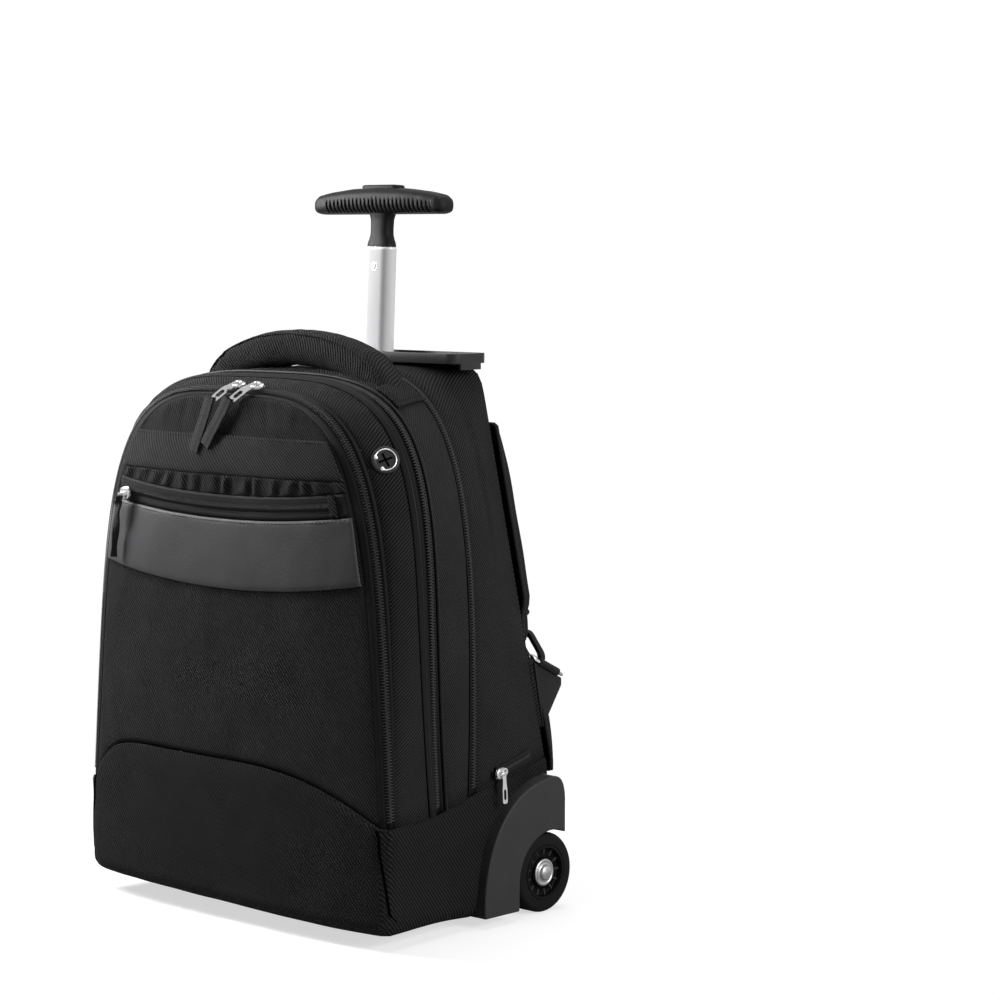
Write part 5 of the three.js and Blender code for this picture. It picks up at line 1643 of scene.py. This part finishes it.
def rib_mesh(name):
    """Short raised ribs round the wheel's centre."""
    middle, ribs = Vector((WHEEL_MIDDLE, AXLE_BACK, WHEEL_RADIUS)), []
    for k in range(RIB_COUNT):
        turn = 2 * math.pi * k / RIB_COUNT + 0.1
        way = Vector((0, math.sin(turn), math.cos(turn)))
        side = way.cross(Vector((1, 0, 0)))
        rings = []
        for radius, size in ((14.0, 0.5), (14.6, 1.0), (16.4, 1.15), (18.2, 1.3), (18.9, 1.3)):
            foot = middle + way * radius + Vector((CORE_WIDTH / 2 - 1.9, 0, 0))
            rings.append([foot + side * (a * size) + Vector((b, 0, 0)) for a, b in (
                (-0.8, 0.0), (0.8, 0.0), (0.5, 1.0 * size), (-0.5, 1.0 * size))])
        ribs.append(loft_mesh("rib", rings))
    return merged(name, ribs)


def cap_mesh(name):
    """The bright hub cover and the axle's head."""
    half = CORE_WIDTH / 2 + 0.4
    profile = [(0.001, half), (HUB_RADIUS, half), (HUB_RADIUS, half + 0.7), (HUB_RADIUS - 0.5, half + 1.2),
               (9.6, half + 1.3), (9.2, half + 0.9), (7.0, half + 0.9), (6.4, half + 1.4),
               (CAP_RADIUS, half + 2.2), (5.8, half + 3.4), (5.0, half + 4.0), (0.001, half + 4.3)]
    cover = turned_mesh(name + "_cover", profile, Vector((
        WHEEL_MIDDLE, AXLE_BACK, WHEEL_RADIUS)), (1, 0, 0), 64)
    start = HOUSING["inner"] + HOUSING["wall"] + SEAM_GAP - WHEEL_MIDDLE
    rod = turned_mesh(name + "_rod", [(0.001, start), (4.2, start), (4.2, half + 0.2), (0.001, half + 0.2)],
                      Vector((WHEEL_MIDDLE, AXLE_BACK, WHEEL_RADIUS)), (1, 0, 0), 32)
    return merged(name, [cover, rod])


def pair(name, mesh, material, body, node, bevel=None):
    """A piece on the right and its mirror image on the left."""
    pieces = []
    for side, shape in (("right", mesh), ("left", mirrored(mesh, name + "_left"))):
        shape.name = f"{name}_{side}"
        rides = f"{body}_{side}" if body.startswith("wheel") else body
        replaced = [f"{node}_{side}"] if node else []
        piece = new_piece(f"{name}_{side}", shape, material, rides, replaced)
        if bevel:
            round_edges(piece, bevel)
        pieces.append(piece)
    return pieces


class BACKPACK_OT_wheels(bpy.types.Operator):
    """Build the wheel housings, tyres, slotted wheel centres and axles"""

    bl_idname = "backpack.wheels"
    bl_label = "Wheels"

    def execute(self, context):
        pair("housing_shell", housing_mesh("housing_shell"), plastic(), "bag", "wheel_housing",
             2.4)
        pair("tyre_ring", tyre_mesh("tyre_ring"), tyre_look(), "wheel", "tyre")
        pair("slotted_centre", core_mesh("slotted_centre"), gloss_black(), "wheel", "wheel_core")
        pair("centre_ribs", rib_mesh("centre_ribs"), plastic(), "wheel", None)
        pair("axle_cap", cap_mesh("axle_cap"), hub_metal(), "bag", "axle")
        return {"FINISHED"}


# Sliders, pulls and the cable port

SLIDER_LENGTH, SLIDER_WIDTH, SLIDER_HEIGHT = 13.0, 9.0, 5.0
PULL_WIDTH, PULL_WALL = 9.0, 1.6


def zip_place(row, before, after, x):
    """A frame on a zip where its half width is x: point, along, across and outward."""
    arch = abs(x) / (half_width_mm() * ROWS[row]["shoulder"])
    along = math.copysign(
        (1 - (1 - arch ** ROWS[row]["corner"]) ** (1 / ROWS[row]["flat"])) ** (1 / 3), x)
    tangent = (arch_point(row, along + 0.005) - arch_point(row, along - 0.005)).normalized()
    across = (arch_point(after, along) - arch_point(before, along)).normalized()
    out = tangent.cross(across).normalized()
    return arch_point(row, along), tangent, out.cross(tangent), out


def slab_ring(length, width, power=3.0, sides=28, taper=0.0):
    return [(x, y * (1 - taper * (x / length + 0.5))) for x, y in rounded_ring(length, width, power, sides)]


def slider_mesh(name, place, lift, taper=0.22):
    """A zip slider: two plates with a waist between them and a bridge for the pull."""
    point, tangent, across, out = place

    def at(x, y, z):
        return point + tangent * x + across * y + out * (lift + z)
    rings = []
    for inset, z in ((0.6, 0.0), (0.1, 0.3), (0.0, 0.9), (0.9, 1.25), (0.9, 1.7), (0.0, 2.0),
                     (0.0, 2.6), (0.25, 2.95), (0.8, 3.1)):
        rings.append([at(x, y, z) for x, y in slab_ring(
            SLIDER_LENGTH - 2 * inset, SLIDER_WIDTH - 2 * inset, 2.7, 28, taper)])
    body = loft_mesh(name + "_body", rings)
    arc = [at(lerp(-0.34, 0.34, t) * SLIDER_LENGTH, 0,
              2.4 + 2.6 * math.sin(math.pi * t) ** 0.45) for t in spread(14)]
    bridge = []
    for k, (centre, _, side, up) in enumerate(frames_along(arc, across)):
        bridge.append([centre + across * a + (out if 1 < k < 13 else up) * b
                       for a, b in rounded_ring(2.6, 1.1, 3, 12)])
    return merged(name, [body, loft_mesh(name + "_bridge", bridge)])


def plate_pull(name, points, sideways, width, wall, hole=0.5):
    """A flat metal pull along a line, pierced near its far end, with a widened head."""
    sideways = Vector(sideways).normalized()
    rings_outer, rings_inner = [], []
    steps = 40
    for t in spread(steps):
        centre = catmull(points, t)
        tangent = (catmull(points, min(t + 0.01, 1)) - catmull(points, max(t - 0.01, 0))).normalized()
        side = (sideways - tangent * sideways.dot(tangent)).normalized()
        up = tangent.cross(side)
        rounding = math.sqrt(clamp(1 - ((t - 0.06) / 0.06) ** 2)) if t < 0.06 else 1
        rounding = math.sqrt(clamp(1 - ((t - 0.94) / 0.06) ** 2)) if t > 0.94 else rounding
        half = width / 2 * max(rounding, 0.25) * (0.72 + 0.28 * smooth((t - 0.25) * 3))
        opening = half * 0.5 * smooth((t - hole) * 14) * smooth((0.9 - t) * 14)
        for inner, outer, rings in ((opening, half, rings_outer), (-half, -opening, rings_inner)):
            rings.append([centre + side * a + up * b for a, b in (
                (inner, -wall / 2), (outer, -wall / 2), (outer, wall / 2), (inner, wall / 2))])
    return merged(name, [loft_mesh(name + "_a", rings_outer), loft_mesh(name + "_b", rings_inner)])


def ribbon_mesh(name, points, sideways, width, wall, steps=40, wave_depth=0.0):
    """A flat webbing strip along a line, with square ends."""
    sideways = Vector(sideways).normalized()
    rings = []
    for t in spread(steps):
        centre = catmull(points, t)
        tangent = (catmull(points, min(t + 0.01, 1)) - catmull(points, max(t - 0.01, 0))).normalized()
        side = (sideways - tangent * sideways.dot(tangent)).normalized()
        up = side.cross(tangent)
        sway = wave_depth * math.sin(t * 5.2 + 0.6) * t
        ring = []
        for a, b in rounded_ring(width, wall, 6, 16):
            ring.append(centre + side * (a + sway) + up * b)
        rings.append(ring)
    return loft_mesh(name, rings)


FRONT_SLIDERS = [
    dict(side="left", x=6.0, ring_x=-15.0, end_x=-33.0, drop=43.0),
    dict(side="right", x=27.0, ring_x=6.0, end_x=-20.0, drop=38.0),
]


class BACKPACK_OT_sliders(bpy.types.Operator):
    """Build the zip sliders with their metal and webbing pulls"""

    bl_idname = "backpack.sliders"
    bl_label = "Sliders and pulls"

    def execute(self, context):
        seam_top = height_mm() * ROWS["panel_seam"]["top"]
        for row in FRONT_SLIDERS:
            side = row["side"]
            place = zip_place("front_zip", "panel_seam", "middle_zip", row["x"])
            start = place[0] + place[3] * (1.6 + SLIDER_HEIGHT - 1)
            ring = Vector((row["ring_x"], front_point(0, seam_top).y - SLIDER_HEIGHT, seam_top - 3))
            middle = start.lerp(ring, 0.5) + Vector((0, -1, 0.8))
            new_piece(f"front_slider_metal_{side}", merged(f"front_slider_metal_{side}", [
                slider_mesh("slider", place, 1.6),
                plate_pull("pull", [start, middle, ring], (0, -0.35, 0.94), PULL_WIDTH * 0.6, 1.2)]),
                metal(), replaced=[f"front_slider_{side}"])
            clear = 1.2 + 2 * SEAM_GAP + PULL_WALL

            def on_face(share, out, row=row, ring=ring):
                height = ring.z + 1 - row["drop"] * share
                return Vector((lerp(row["ring_x"] - 2, row["end_x"], share),
                               front_point(0, height).y - out, height))
            points = [Vector((row["ring_x"] - 2, ring.y - PULL_WALL - SEAM_GAP, ring.z + 1)),
                      on_face(0.3, clear + 1.4), on_face(0.65, clear + 0.6), on_face(1, clear + 0.3)]
            new_piece(f"front_pull_{side}", ribbon_mesh(
                f"front_pull_{side}", points, (1, 0, 0), PULL_WIDTH + 1.6, PULL_WALL, 48, 0.4), webbing(),
                replaced=[f"front_slider_{side}_pull"])

        share, height = -0.86, height_mm() * 0.746
        point = front_point(share, height, SEAM_GAP * 3 + 1.2 + 1.3)
        way = (front_point(share + 0.05, height) - front_point(share - 0.05, height)).normalized()
        out = way.cross(Vector((0, 0, 1)))
        place = (point, way, Vector((0, 0, 1)), out)
        hang = [point + Vector((-2, -SLIDER_HEIGHT - 0.6, 0.5)), point + Vector((-4, -SLIDER_HEIGHT, -6)),
                point + Vector((-6, -SLIDER_HEIGHT, -13))]
        new_piece("pocket_slider_metal", merged("pocket_slider_metal", [
            slider_mesh("slider", place, 0, -0.2),
            plate_pull("pull", hang, (1, 0, 0), PULL_WIDTH * 0.7, 1.2)]),
            metal(), replaced=["pocket_slider"])
        rope = [point + Vector((x, -y, -z)) for x, y, z in (
            (-2, SLIDER_HEIGHT + 1.6, 2), (-5, SLIDER_HEIGHT + 1.2, 14), (-12, SLIDER_HEIGHT, 53))]
        rings = []
        for t in spread(90):
            centre = catmull(rope, t)
            turn = 0.9 * math.sin(t * 9) + 0.4
            a, b = Vector((math.cos(turn), 0.5 * math.sin(turn), 0)), Vector((0, 1, 0))
            rings.append([centre + a * u + b * v for u, v in rounded_ring(
                PULL_WIDTH * lerp(0.95, 0.8, t), 2.4 + 0.5 * math.sin(t * 26), 2.4, 18)])
        new_piece("pocket_pull", loft_mesh("pocket_pull", rings), webbing(),
                  replaced=["pocket_slider_pull"])
        new_piece("rear_slider_metal", slider_mesh(
            "rear_slider_metal", zip_place("rear_zip", "middle_zip", "back", 6.0), 1.6), metal(),
            replaced=["rear_slider"])
        return {"FINISHED"}


PORT_RADIUS = 11.0


class BACKPACK_OT_cable_port(bpy.types.Operator):
    """Build the rubber cable port with its crossed slot and bright arc"""

    bl_idname = "backpack.cable_port"
    bl_label = "Cable port"

    def execute(self, context):
        height = height_mm() * 0.83

        def on_gusset(at):
            return row_at_height("front_zip", at).lerp(row_at_height("middle_zip", at), 0.505)
        across = (row_at_height("middle_zip", height) - row_at_height("front_zip", height)).normalized()
        out = across.cross(on_gusset(height + 5) - on_gusset(height - 5)).normalized()
        upward = out.cross(across) if out.cross(across).z > 0 else across.cross(out)
        centre = on_gusset(height) + out * sizes().gusset_puff * 1000

        def around(degrees):
            turn = math.radians(degrees)
            return across * math.cos(turn) + upward * math.sin(turn)

        profile = [(0.001, -2.0), (PORT_RADIUS, -2.0), (PORT_RADIUS, 0.6), (PORT_RADIUS - 0.5, 1.3),
                   (PORT_RADIUS - 1.3, 1.6), (PORT_RADIUS - 2.6, 1.5), (PORT_RADIUS - 3.2, 1.0),
                   (PORT_RADIUS - 3.8, 0.85), (4.0, 1.0), (0.001, 1.05)]
        disc = turned_mesh("port_disc", profile, centre, out, 64)
        # Black strips over the crossed slit: painted shade inside the slit
        slot_shades = []
        for turn in (20, 115):
            way = around(turn)
            side = way.cross(out)
            ends = [centre + out * 1.12 + way * reach for reach in (-5.6, 5.6)]
            slot_shades.append(loft_mesh("slot", [[end + side * a + out * b for a, b in rounded_ring(
                1.7, 0.5, 2, 10)] for end in ends]))
        piece = new_piece("port_ring", disc, rubber(), replaced=["cable_port"])
        new_piece("port_slot_shades", merged("port_slot_shades", slot_shades), painted_shade_black())
        arc = [centre + out * 1.55 + around(lerp(253, 523, t)) * (PORT_RADIUS - 2.7) for t in spread(48)]
        ends = [turned_mesh("end", [(0.001, 0.0), (1.3, 0.1), (1.55, 0.5), (1.0, 1.0), (0.001, 1.15)],
                            centre + out * 1.15 + around(turn) * (PORT_RADIUS - 3.4), out, 20)
                for turn in (250, 526)]
        new_piece("port_arc", merged("port_arc", [tube_mesh("arc", arc, 0.6, 10), *ends]), metal())
        return {"FINISHED"}


def rubber():
    return surface("Rubber", colours().soft_plastic, "Grain", {
        "Scale": 1500.0, "Wear": 0.3}, 0.00005, 0.5, Specular_IOR_Level=0.25)


def gloss_black():
    return surface("Gloss black", (0.002, 0.002, 0.0022), "Grain", {"Scale": 900.0}, 0.00002, 0.4,
                   Specular_IOR_Level=0.05)


# A black with no shine: painted shade for the slits of the cable port and the grooves of the base's corner
# seams
def painted_shade_black():
    return surface("Painted shade black", (0.0015, 0.0015, 0.0015), "Grain", {"Scale": 900.0}, 0.00001, 0.9,
                   Specular_IOR_Level=0.0)


# Sides and back

def side_point(share, height, lift):
    """A point of the side behind the rear zip, at a share of the way to the back."""
    front, rear = row_at_height("rear_zip", height), row_at_height("back", height)
    way = (rear - front).normalized()
    out = Vector((way.y, -way.x, 0))
    puff = sizes().side_puff * 1000 * 4 * share * (1 - share)
    return front.lerp(rear, share) + out * (puff + lift)


def pocket_line(share):
    return height_mm() * lerp(0.258, 0.3, share)


class BACKPACK_OT_side_pockets(bpy.types.Operator):
    """Build the low pocket zips in front of the wheel housings"""

    bl_idname = "backpack.side_pockets"
    bl_label = "Side pockets"

    def execute(self, context):
        grid = []
        for share in (lerp(0.25, 0.75, t) for t in spread(24)):
            row = []
            for edge in (-1, -0.96, -0.6, -0.3, 0, 0.3, 0.6, 0.96, 1):
                lift = 1.9 - 0.5 * math.exp(-(edge / 0.25) ** 2) - (0.7 if abs(edge) == 1 else 0)
                row.append(side_point(share, pocket_line(share) + edge * 5, lift))
            grid.append(row)
        flat = grid_mesh("pocket_tapes", grid)
        for piece in pair("side_pocket_tape", flat, tape(), "bag", "side_pocket_zip"):
            give_wall(piece, 1.2)
        line = [(side_point(s, pocket_line(s), 1.7), Vector((1, 0, 0)))
                for s in (lerp(0.26, 0.74, t) for t in spread(60))]
        pair("side_pocket_teeth", teeth_mesh("teeth", line, 1.6), coil_look(), "bag", None)

        share, proud = 0.28, 0.5 + 1.2 + 1.3 + SEAM_GAP
        height = pocket_line(share)
        point = side_point(share, height, proud)
        ahead = side_point(share + 0.1, pocket_line(share + 0.1), proud)
        tangent = (ahead - point).normalized()
        across = (Vector((0, 0, 1)) - tangent * tangent.z).normalized()
        out = tangent.cross(across)
        hang = point + out * (SLIDER_HEIGHT - 1)
        pull = [hang, hang + Vector((0.6, 0, -12)), hang + Vector((1.2, 0, -24))]
        pair("side_slider", merged("side_slider", [
            slider_mesh("slider", (point, tangent, across, out), 0),
            plate_pull("pull", pull, (0, 1, 0), PULL_WIDTH * 0.6, 1.2)]), metal(), "bag",
            "side_pocket_slider")
        return {"FINISHED"}


PAD_THICKNESS, PAD_EDGE, PAD_INNER, PAD_INSET, PAD_BOTTOM, PAD_TOP = 18.0, 4.0, 14.0, 4.5, 114.0, 392.0
PAD_NOTCH, PAD_NOTCH_REACH, RING_HEIGHT = 22.0, 18.0, 195.0
STRAP_WIDTH, STRAP_THICKNESS, STRAP_REST, STRAP_EASE = 58.0, 11.0, 0.6, 15.0
STRAP_TOP, STRAP_BOTTOM = 429.0, 266.0
STRAP_LINE = [(0.0, 0.26), (0.38, 0.28), (0.72, 0.33), (0.9, 0.4), (1.0, 0.46)]


def pad_rise(height):
    share = clamp((height - PAD_BOTTOM) / (PAD_TOP - PAD_BOTTOM))
    return lerp(PAD_EDGE, PAD_THICKNESS, math.sqrt(1 - abs(2 * share - 1) ** 5))


def pad_reach(height):
    """The pad's outer edge, which gives way to the ring on the side tab."""
    notch = PAD_NOTCH * math.exp(-((height - RING_HEIGHT) / PAD_NOTCH_REACH) ** 2)
    return row_at_height("back", height).x - PAD_INSET - notch


def back_face_y(height):
    return row_at_height("back", height).y + SEAM_GAP + 2.0


def strap_point(t):
    return catmull([Vector((half_width_mm() * place, 0, lerp(STRAP_TOP, STRAP_BOTTOM, down)))
                    for down, place in STRAP_LINE], t)


def strap_seat(height):
    rise = 0 if height - STRAP_EASE > PAD_TOP else pad_rise(height - STRAP_EASE)
    return back_face_y(height) + SEAM_GAP + STRAP_REST + rise


class BACKPACK_OT_back_pads(bpy.types.Operator):
    """Build the air mesh back pads with their bound edges"""

    bl_idname = "backpack.back_pads"
    bl_label = "Back pads"

    def execute(self, context):
        grid, rim = [], []
        for u in seam_shares(34):
            crown = math.sqrt(max(1 - abs(2 * u - 1) ** 12, 0))
            row = []
            for t in seam_shares(60):
                height = lerp(PAD_BOTTOM, PAD_TOP, t)
                overhang = 7 * smooth((abs(height - 212) - 24) / 16)
                x = lerp(PAD_INNER, pad_reach(height) + overhang, u)
                swell = unevenness(Vector((x, 0, height)), 34, 0.9) * crown
                rise = lerp(PAD_EDGE, pad_rise(height), crown) + swell
                row.append(Vector((x, back_face_y(height) + SEAM_GAP + rise, height)))
            grid.append(row)
        pad = grid_mesh("pad_cover", grid, facing=Vector((0, 1, 0)))
        for piece in pair("mesh_pad", pad, air_mesh(), "bag", "back_pad"):
            give_wall(piece, 1.8)
        border = [row[0] for row in grid] + grid[-1][1:] + [row[-1] for row in grid[-2::-1]]
        border += grid[0][-2:0:-1]
        edge = [point + Vector((0, -0.4, 0)) for point, _ in by_distance(border, 4.0)]
        pair("pad_binding", tube_mesh("binding", edge[:-1], 1.7, 8, looped=True), webbing(), "bag",
             None)
        return {"FINISHED"}


class BACKPACK_OT_straps(bpy.types.Operator):
    """Build the padded shoulder straps with their locks, webbing, hooks and rings"""

    bl_idname = "backpack.straps"
    bl_label = "Shoulder straps"

    def execute(self, context):
        rings, border = [], []
        for t in spread(110):
            point = strap_point(t)
            tangent = (strap_point(min(t + 0.01, 1)) - strap_point(max(t - 0.01, 0))).normalized()
            across = tangent.cross(Vector((0, 1, 0))).normalized()
            narrow = lerp(1, 0.5, max(t - 0.82, 0) / 0.18)
            half = narrow * STRAP_WIDTH / 2
            seat = strap_seat(point.z)
            soften = 1 - 0.6 * smooth((t - 0.93) / 0.07) - 0.5 * smooth((0.05 - t) / 0.05)
            ring = []
            for a, b in rounded_ring(2 * half, STRAP_THICKNESS * soften, 3.4, 44):
                bump = 0.6 * noise.noise(Vector((t * 12, a / 16, 0.4 if b > 0 else 9)))
                middle = STRAP_THICKNESS * soften / 2
                ring.append(Vector((point.x, seat + middle + b + bump, point.z)) + across * a)
            rings.append(ring)
        straps = pair("padded_strap", loft_mesh("padded_strap", rings), twill(), "bag",
                      "shoulder_strap")
        for node, name, material, slot, bevel in (
                ("ladder_lock", "strap_lock", soft_plastic(), "soft_plastic", 0.9),
                ("strap_webbing", "webbing_loop", webbing(), "webbing", 0.35),
                ("snap_hook", "swivel_hook", soft_plastic(), "soft_plastic", 1.1),
                ("side_tab", "tab_cloth", webbing(), "twill", 0.5),
                ("tab_ring", "wire_ring", metal(), "steel", 0)):
            for side in ("right", "left"):
                copy = cad_copy(f"{node}_{side}", f"{name}_{side}")
                piece = new_piece(f"{name}_{side}", copy, material, "bag", [f"{node}_{side}"])
                if bevel:
                    round_edges(piece, bevel)
        grid = []
        for t in spread(14):
            height = height_mm() * lerp(0.454, 0.33, t)
            edge = row_at_height("back", height)
            outer = edge + Vector((lerp(3.4, 1.4, t), lerp(7, 5, t), lerp(-3.8, 0, t)))
            grid.append([edge + Vector((-0.4, -1.5, 0)), edge.lerp(outer, 0.5), outer])
        for piece in pair("tab_root", grid_mesh("tab_root", grid, facing=Vector((1, 0, 0))), twill(),
                          "bag", None):
            give_wall(piece, 1.4)
        return {"FINISHED"}


# Stage and camera

CAMERA_AZIMUTH, CAMERA_ELEVATION = 42.6, 5.1
CAMERA_FOCAL, CAMERA_DISTANCE = 2959.3, 2.3677
CAMERA_TARGET = (136.4, 0.0, 333.7)


def lamp(name, place, size, power, aim, colour=(1, 1, 1)):
    light = bpy.data.lights.new(name, "AREA")
    light.shape = "RECTANGLE"
    light.size, light.size_y = size
    light.energy = power
    light.color = colour
    piece = bpy.data.objects.new(name, light)
    piece.location = place
    piece.rotation_euler = (Vector(place) - Vector(aim)).to_track_quat("Z", "Y").to_euler()
    bpy.context.scene.collection.objects.link(piece)


class BACKPACK_OT_stage(bpy.types.Operator):
    """Set the camera, the pale floor and the studio lights"""

    bl_idname = "backpack.stage"
    bl_label = "Stage"

    def execute(self, context):
        azimuth, elevation = math.radians(CAMERA_AZIMUTH), math.radians(CAMERA_ELEVATION)
        back = Vector((math.sin(azimuth) * math.cos(elevation),
                       -math.cos(azimuth) * math.cos(elevation), math.sin(elevation)))
        camera = bpy.data.objects.new("camera", bpy.data.cameras.new("camera"))
        camera.data.sensor_width = 36.0
        camera.data.lens = CAMERA_FOCAL * 36.0 / 1000
        camera.data.clip_end = 60.0
        camera.location = world(CAMERA_TARGET) + back * CAMERA_DISTANCE
        camera.rotation_euler = back.to_track_quat("Z", "Y").to_euler()
        bpy.context.scene.collection.objects.link(camera)
        bpy.context.scene.camera = camera

        mesh = bpy.data.meshes.new("floor")
        grid = [(-6, -6, 0), (6, -6, 0), (6, 6, 0), (-6, 6, 0)]
        mesh.from_pydata(grid, [], [(0, 1, 2, 3)])
        mesh.uv_layers.new(name="weave")
        floor = bpy.data.objects.new("floor", mesh)
        bpy.context.scene.collection.objects.link(floor)
        pale = surface("Pale floor", (0.45, 0.45, 0.45), "Grain", {
            "Scale": 60.0, "Wear": 0.0}, 0.00001, 0.9, Specular_IOR_Level=0.0)
        shader = pale.node_tree.nodes["Principled BSDF"]
        shader.inputs["Emission Color"].default_value = (1, 1, 1, 1)
        seen = put(pale.node_tree, "ShaderNodeLightPath").outputs["Is Camera Ray"]
        pale.node_tree.links.new(maths(pale.node_tree, "MULTIPLY", seen, 0.63),
                                 shader.inputs["Emission Strength"])
        fade = put(pale.node_tree, "ShaderNodeGroup", node_tree=make_fade_group())
        pale.node_tree.links.new(fade.outputs[0], shader.inputs["Alpha"])
        mesh.materials.append(pale)

        sky = bpy.data.worlds.new("Studio")
        sky.use_nodes = True
        backdrop = sky.node_tree.nodes["Background"]
        backdrop.inputs[0].default_value = (1, 1, 1, 1)
        path = put(sky.node_tree, "ShaderNodeLightPath").outputs
        shine = maths(sky.node_tree, "MULTIPLY_ADD", path["Is Glossy Ray"], 0.8, 0.04)
        glow = maths(sky.node_tree, "MULTIPLY_ADD", path["Is Camera Ray"], 0.98, shine)
        sky.node_tree.links.new(glow, backdrop.inputs[1])
        bpy.context.scene.world = sky
        bpy.context.scene.view_settings.view_transform = "Standard"
        lamp("key", (-0.6, -0.34, 0.7), (0.22, 0.5), 15, (0, -0.12, 0.3))
        lamp("side", (3.0, 0.5, 1.3), (0.8, 1.8), 68, (0.1, 0, 0.25))
        lamp("handle", (0.3, -2.2, 1.8), (0.5, 0.5), 2.5, (0, -0.1, 0.6))
        lamp("rim", (1.35, -0.15, 0.75), (0.3, 0.5), 4, (0, 0, 0.5))
        lamp("top", (0, 0.4, 2.8), (1.8, 1.8), 40, (0, 0, 0.3))
        return {"FINISHED"}


PIECE_OPERATORS = [
    BACKPACK_OT_stage, BACKPACK_OT_front_face, BACKPACK_OT_zips, BACKPACK_OT_gussets,
    BACKPACK_OT_rear_section, BACKPACK_OT_base, BACKPACK_OT_grab_handle, BACKPACK_OT_top_plate,
    BACKPACK_OT_pull_handle, BACKPACK_OT_wheels, BACKPACK_OT_sliders, BACKPACK_OT_cable_port,
    BACKPACK_OT_side_pockets, BACKPACK_OT_back_pads, BACKPACK_OT_straps,
]


class BACKPACK_PT_pieces(bpy.types.Panel):
    """Lists the backpack's pieces, sizes and colours"""

    bl_idname = "BACKPACK_PT_pieces"
    bl_label = "Wheeled backpack"
    bl_space_type = "VIEW_3D"
    bl_region_type = "UI"
    bl_category = "Backpack"

    def draw(self, context):
        for group in (context.scene.backpack_sizes, context.scene.backpack_colours):
            column = self.layout.column(align=True)
            for key in group.__annotations__:
                column.prop(group, key)
        column = self.layout.column(align=True)
        for operator in PIECE_OPERATORS:
            column.operator(operator.bl_idname)


CLASSES = [BackpackSizes, BackpackColours, *PIECE_OPERATORS, BACKPACK_PT_pieces]


def register():
    for cls in CLASSES:
        bpy.utils.register_class(cls)
    bpy.types.Scene.backpack_sizes = PointerProperty(type=BackpackSizes)
    bpy.types.Scene.backpack_colours = PointerProperty(type=BackpackColours)


def unregister():
    del bpy.types.Scene.backpack_colours
    del bpy.types.Scene.backpack_sizes
    for cls in reversed(CLASSES):
        bpy.utils.unregister_class(cls)


def main():
    register()
    for operator in PIECE_OPERATORS:
        group, name = operator.bl_idname.split(".")
        getattr(getattr(bpy.ops, group), name)()


if __name__ == "__main__":
    main()
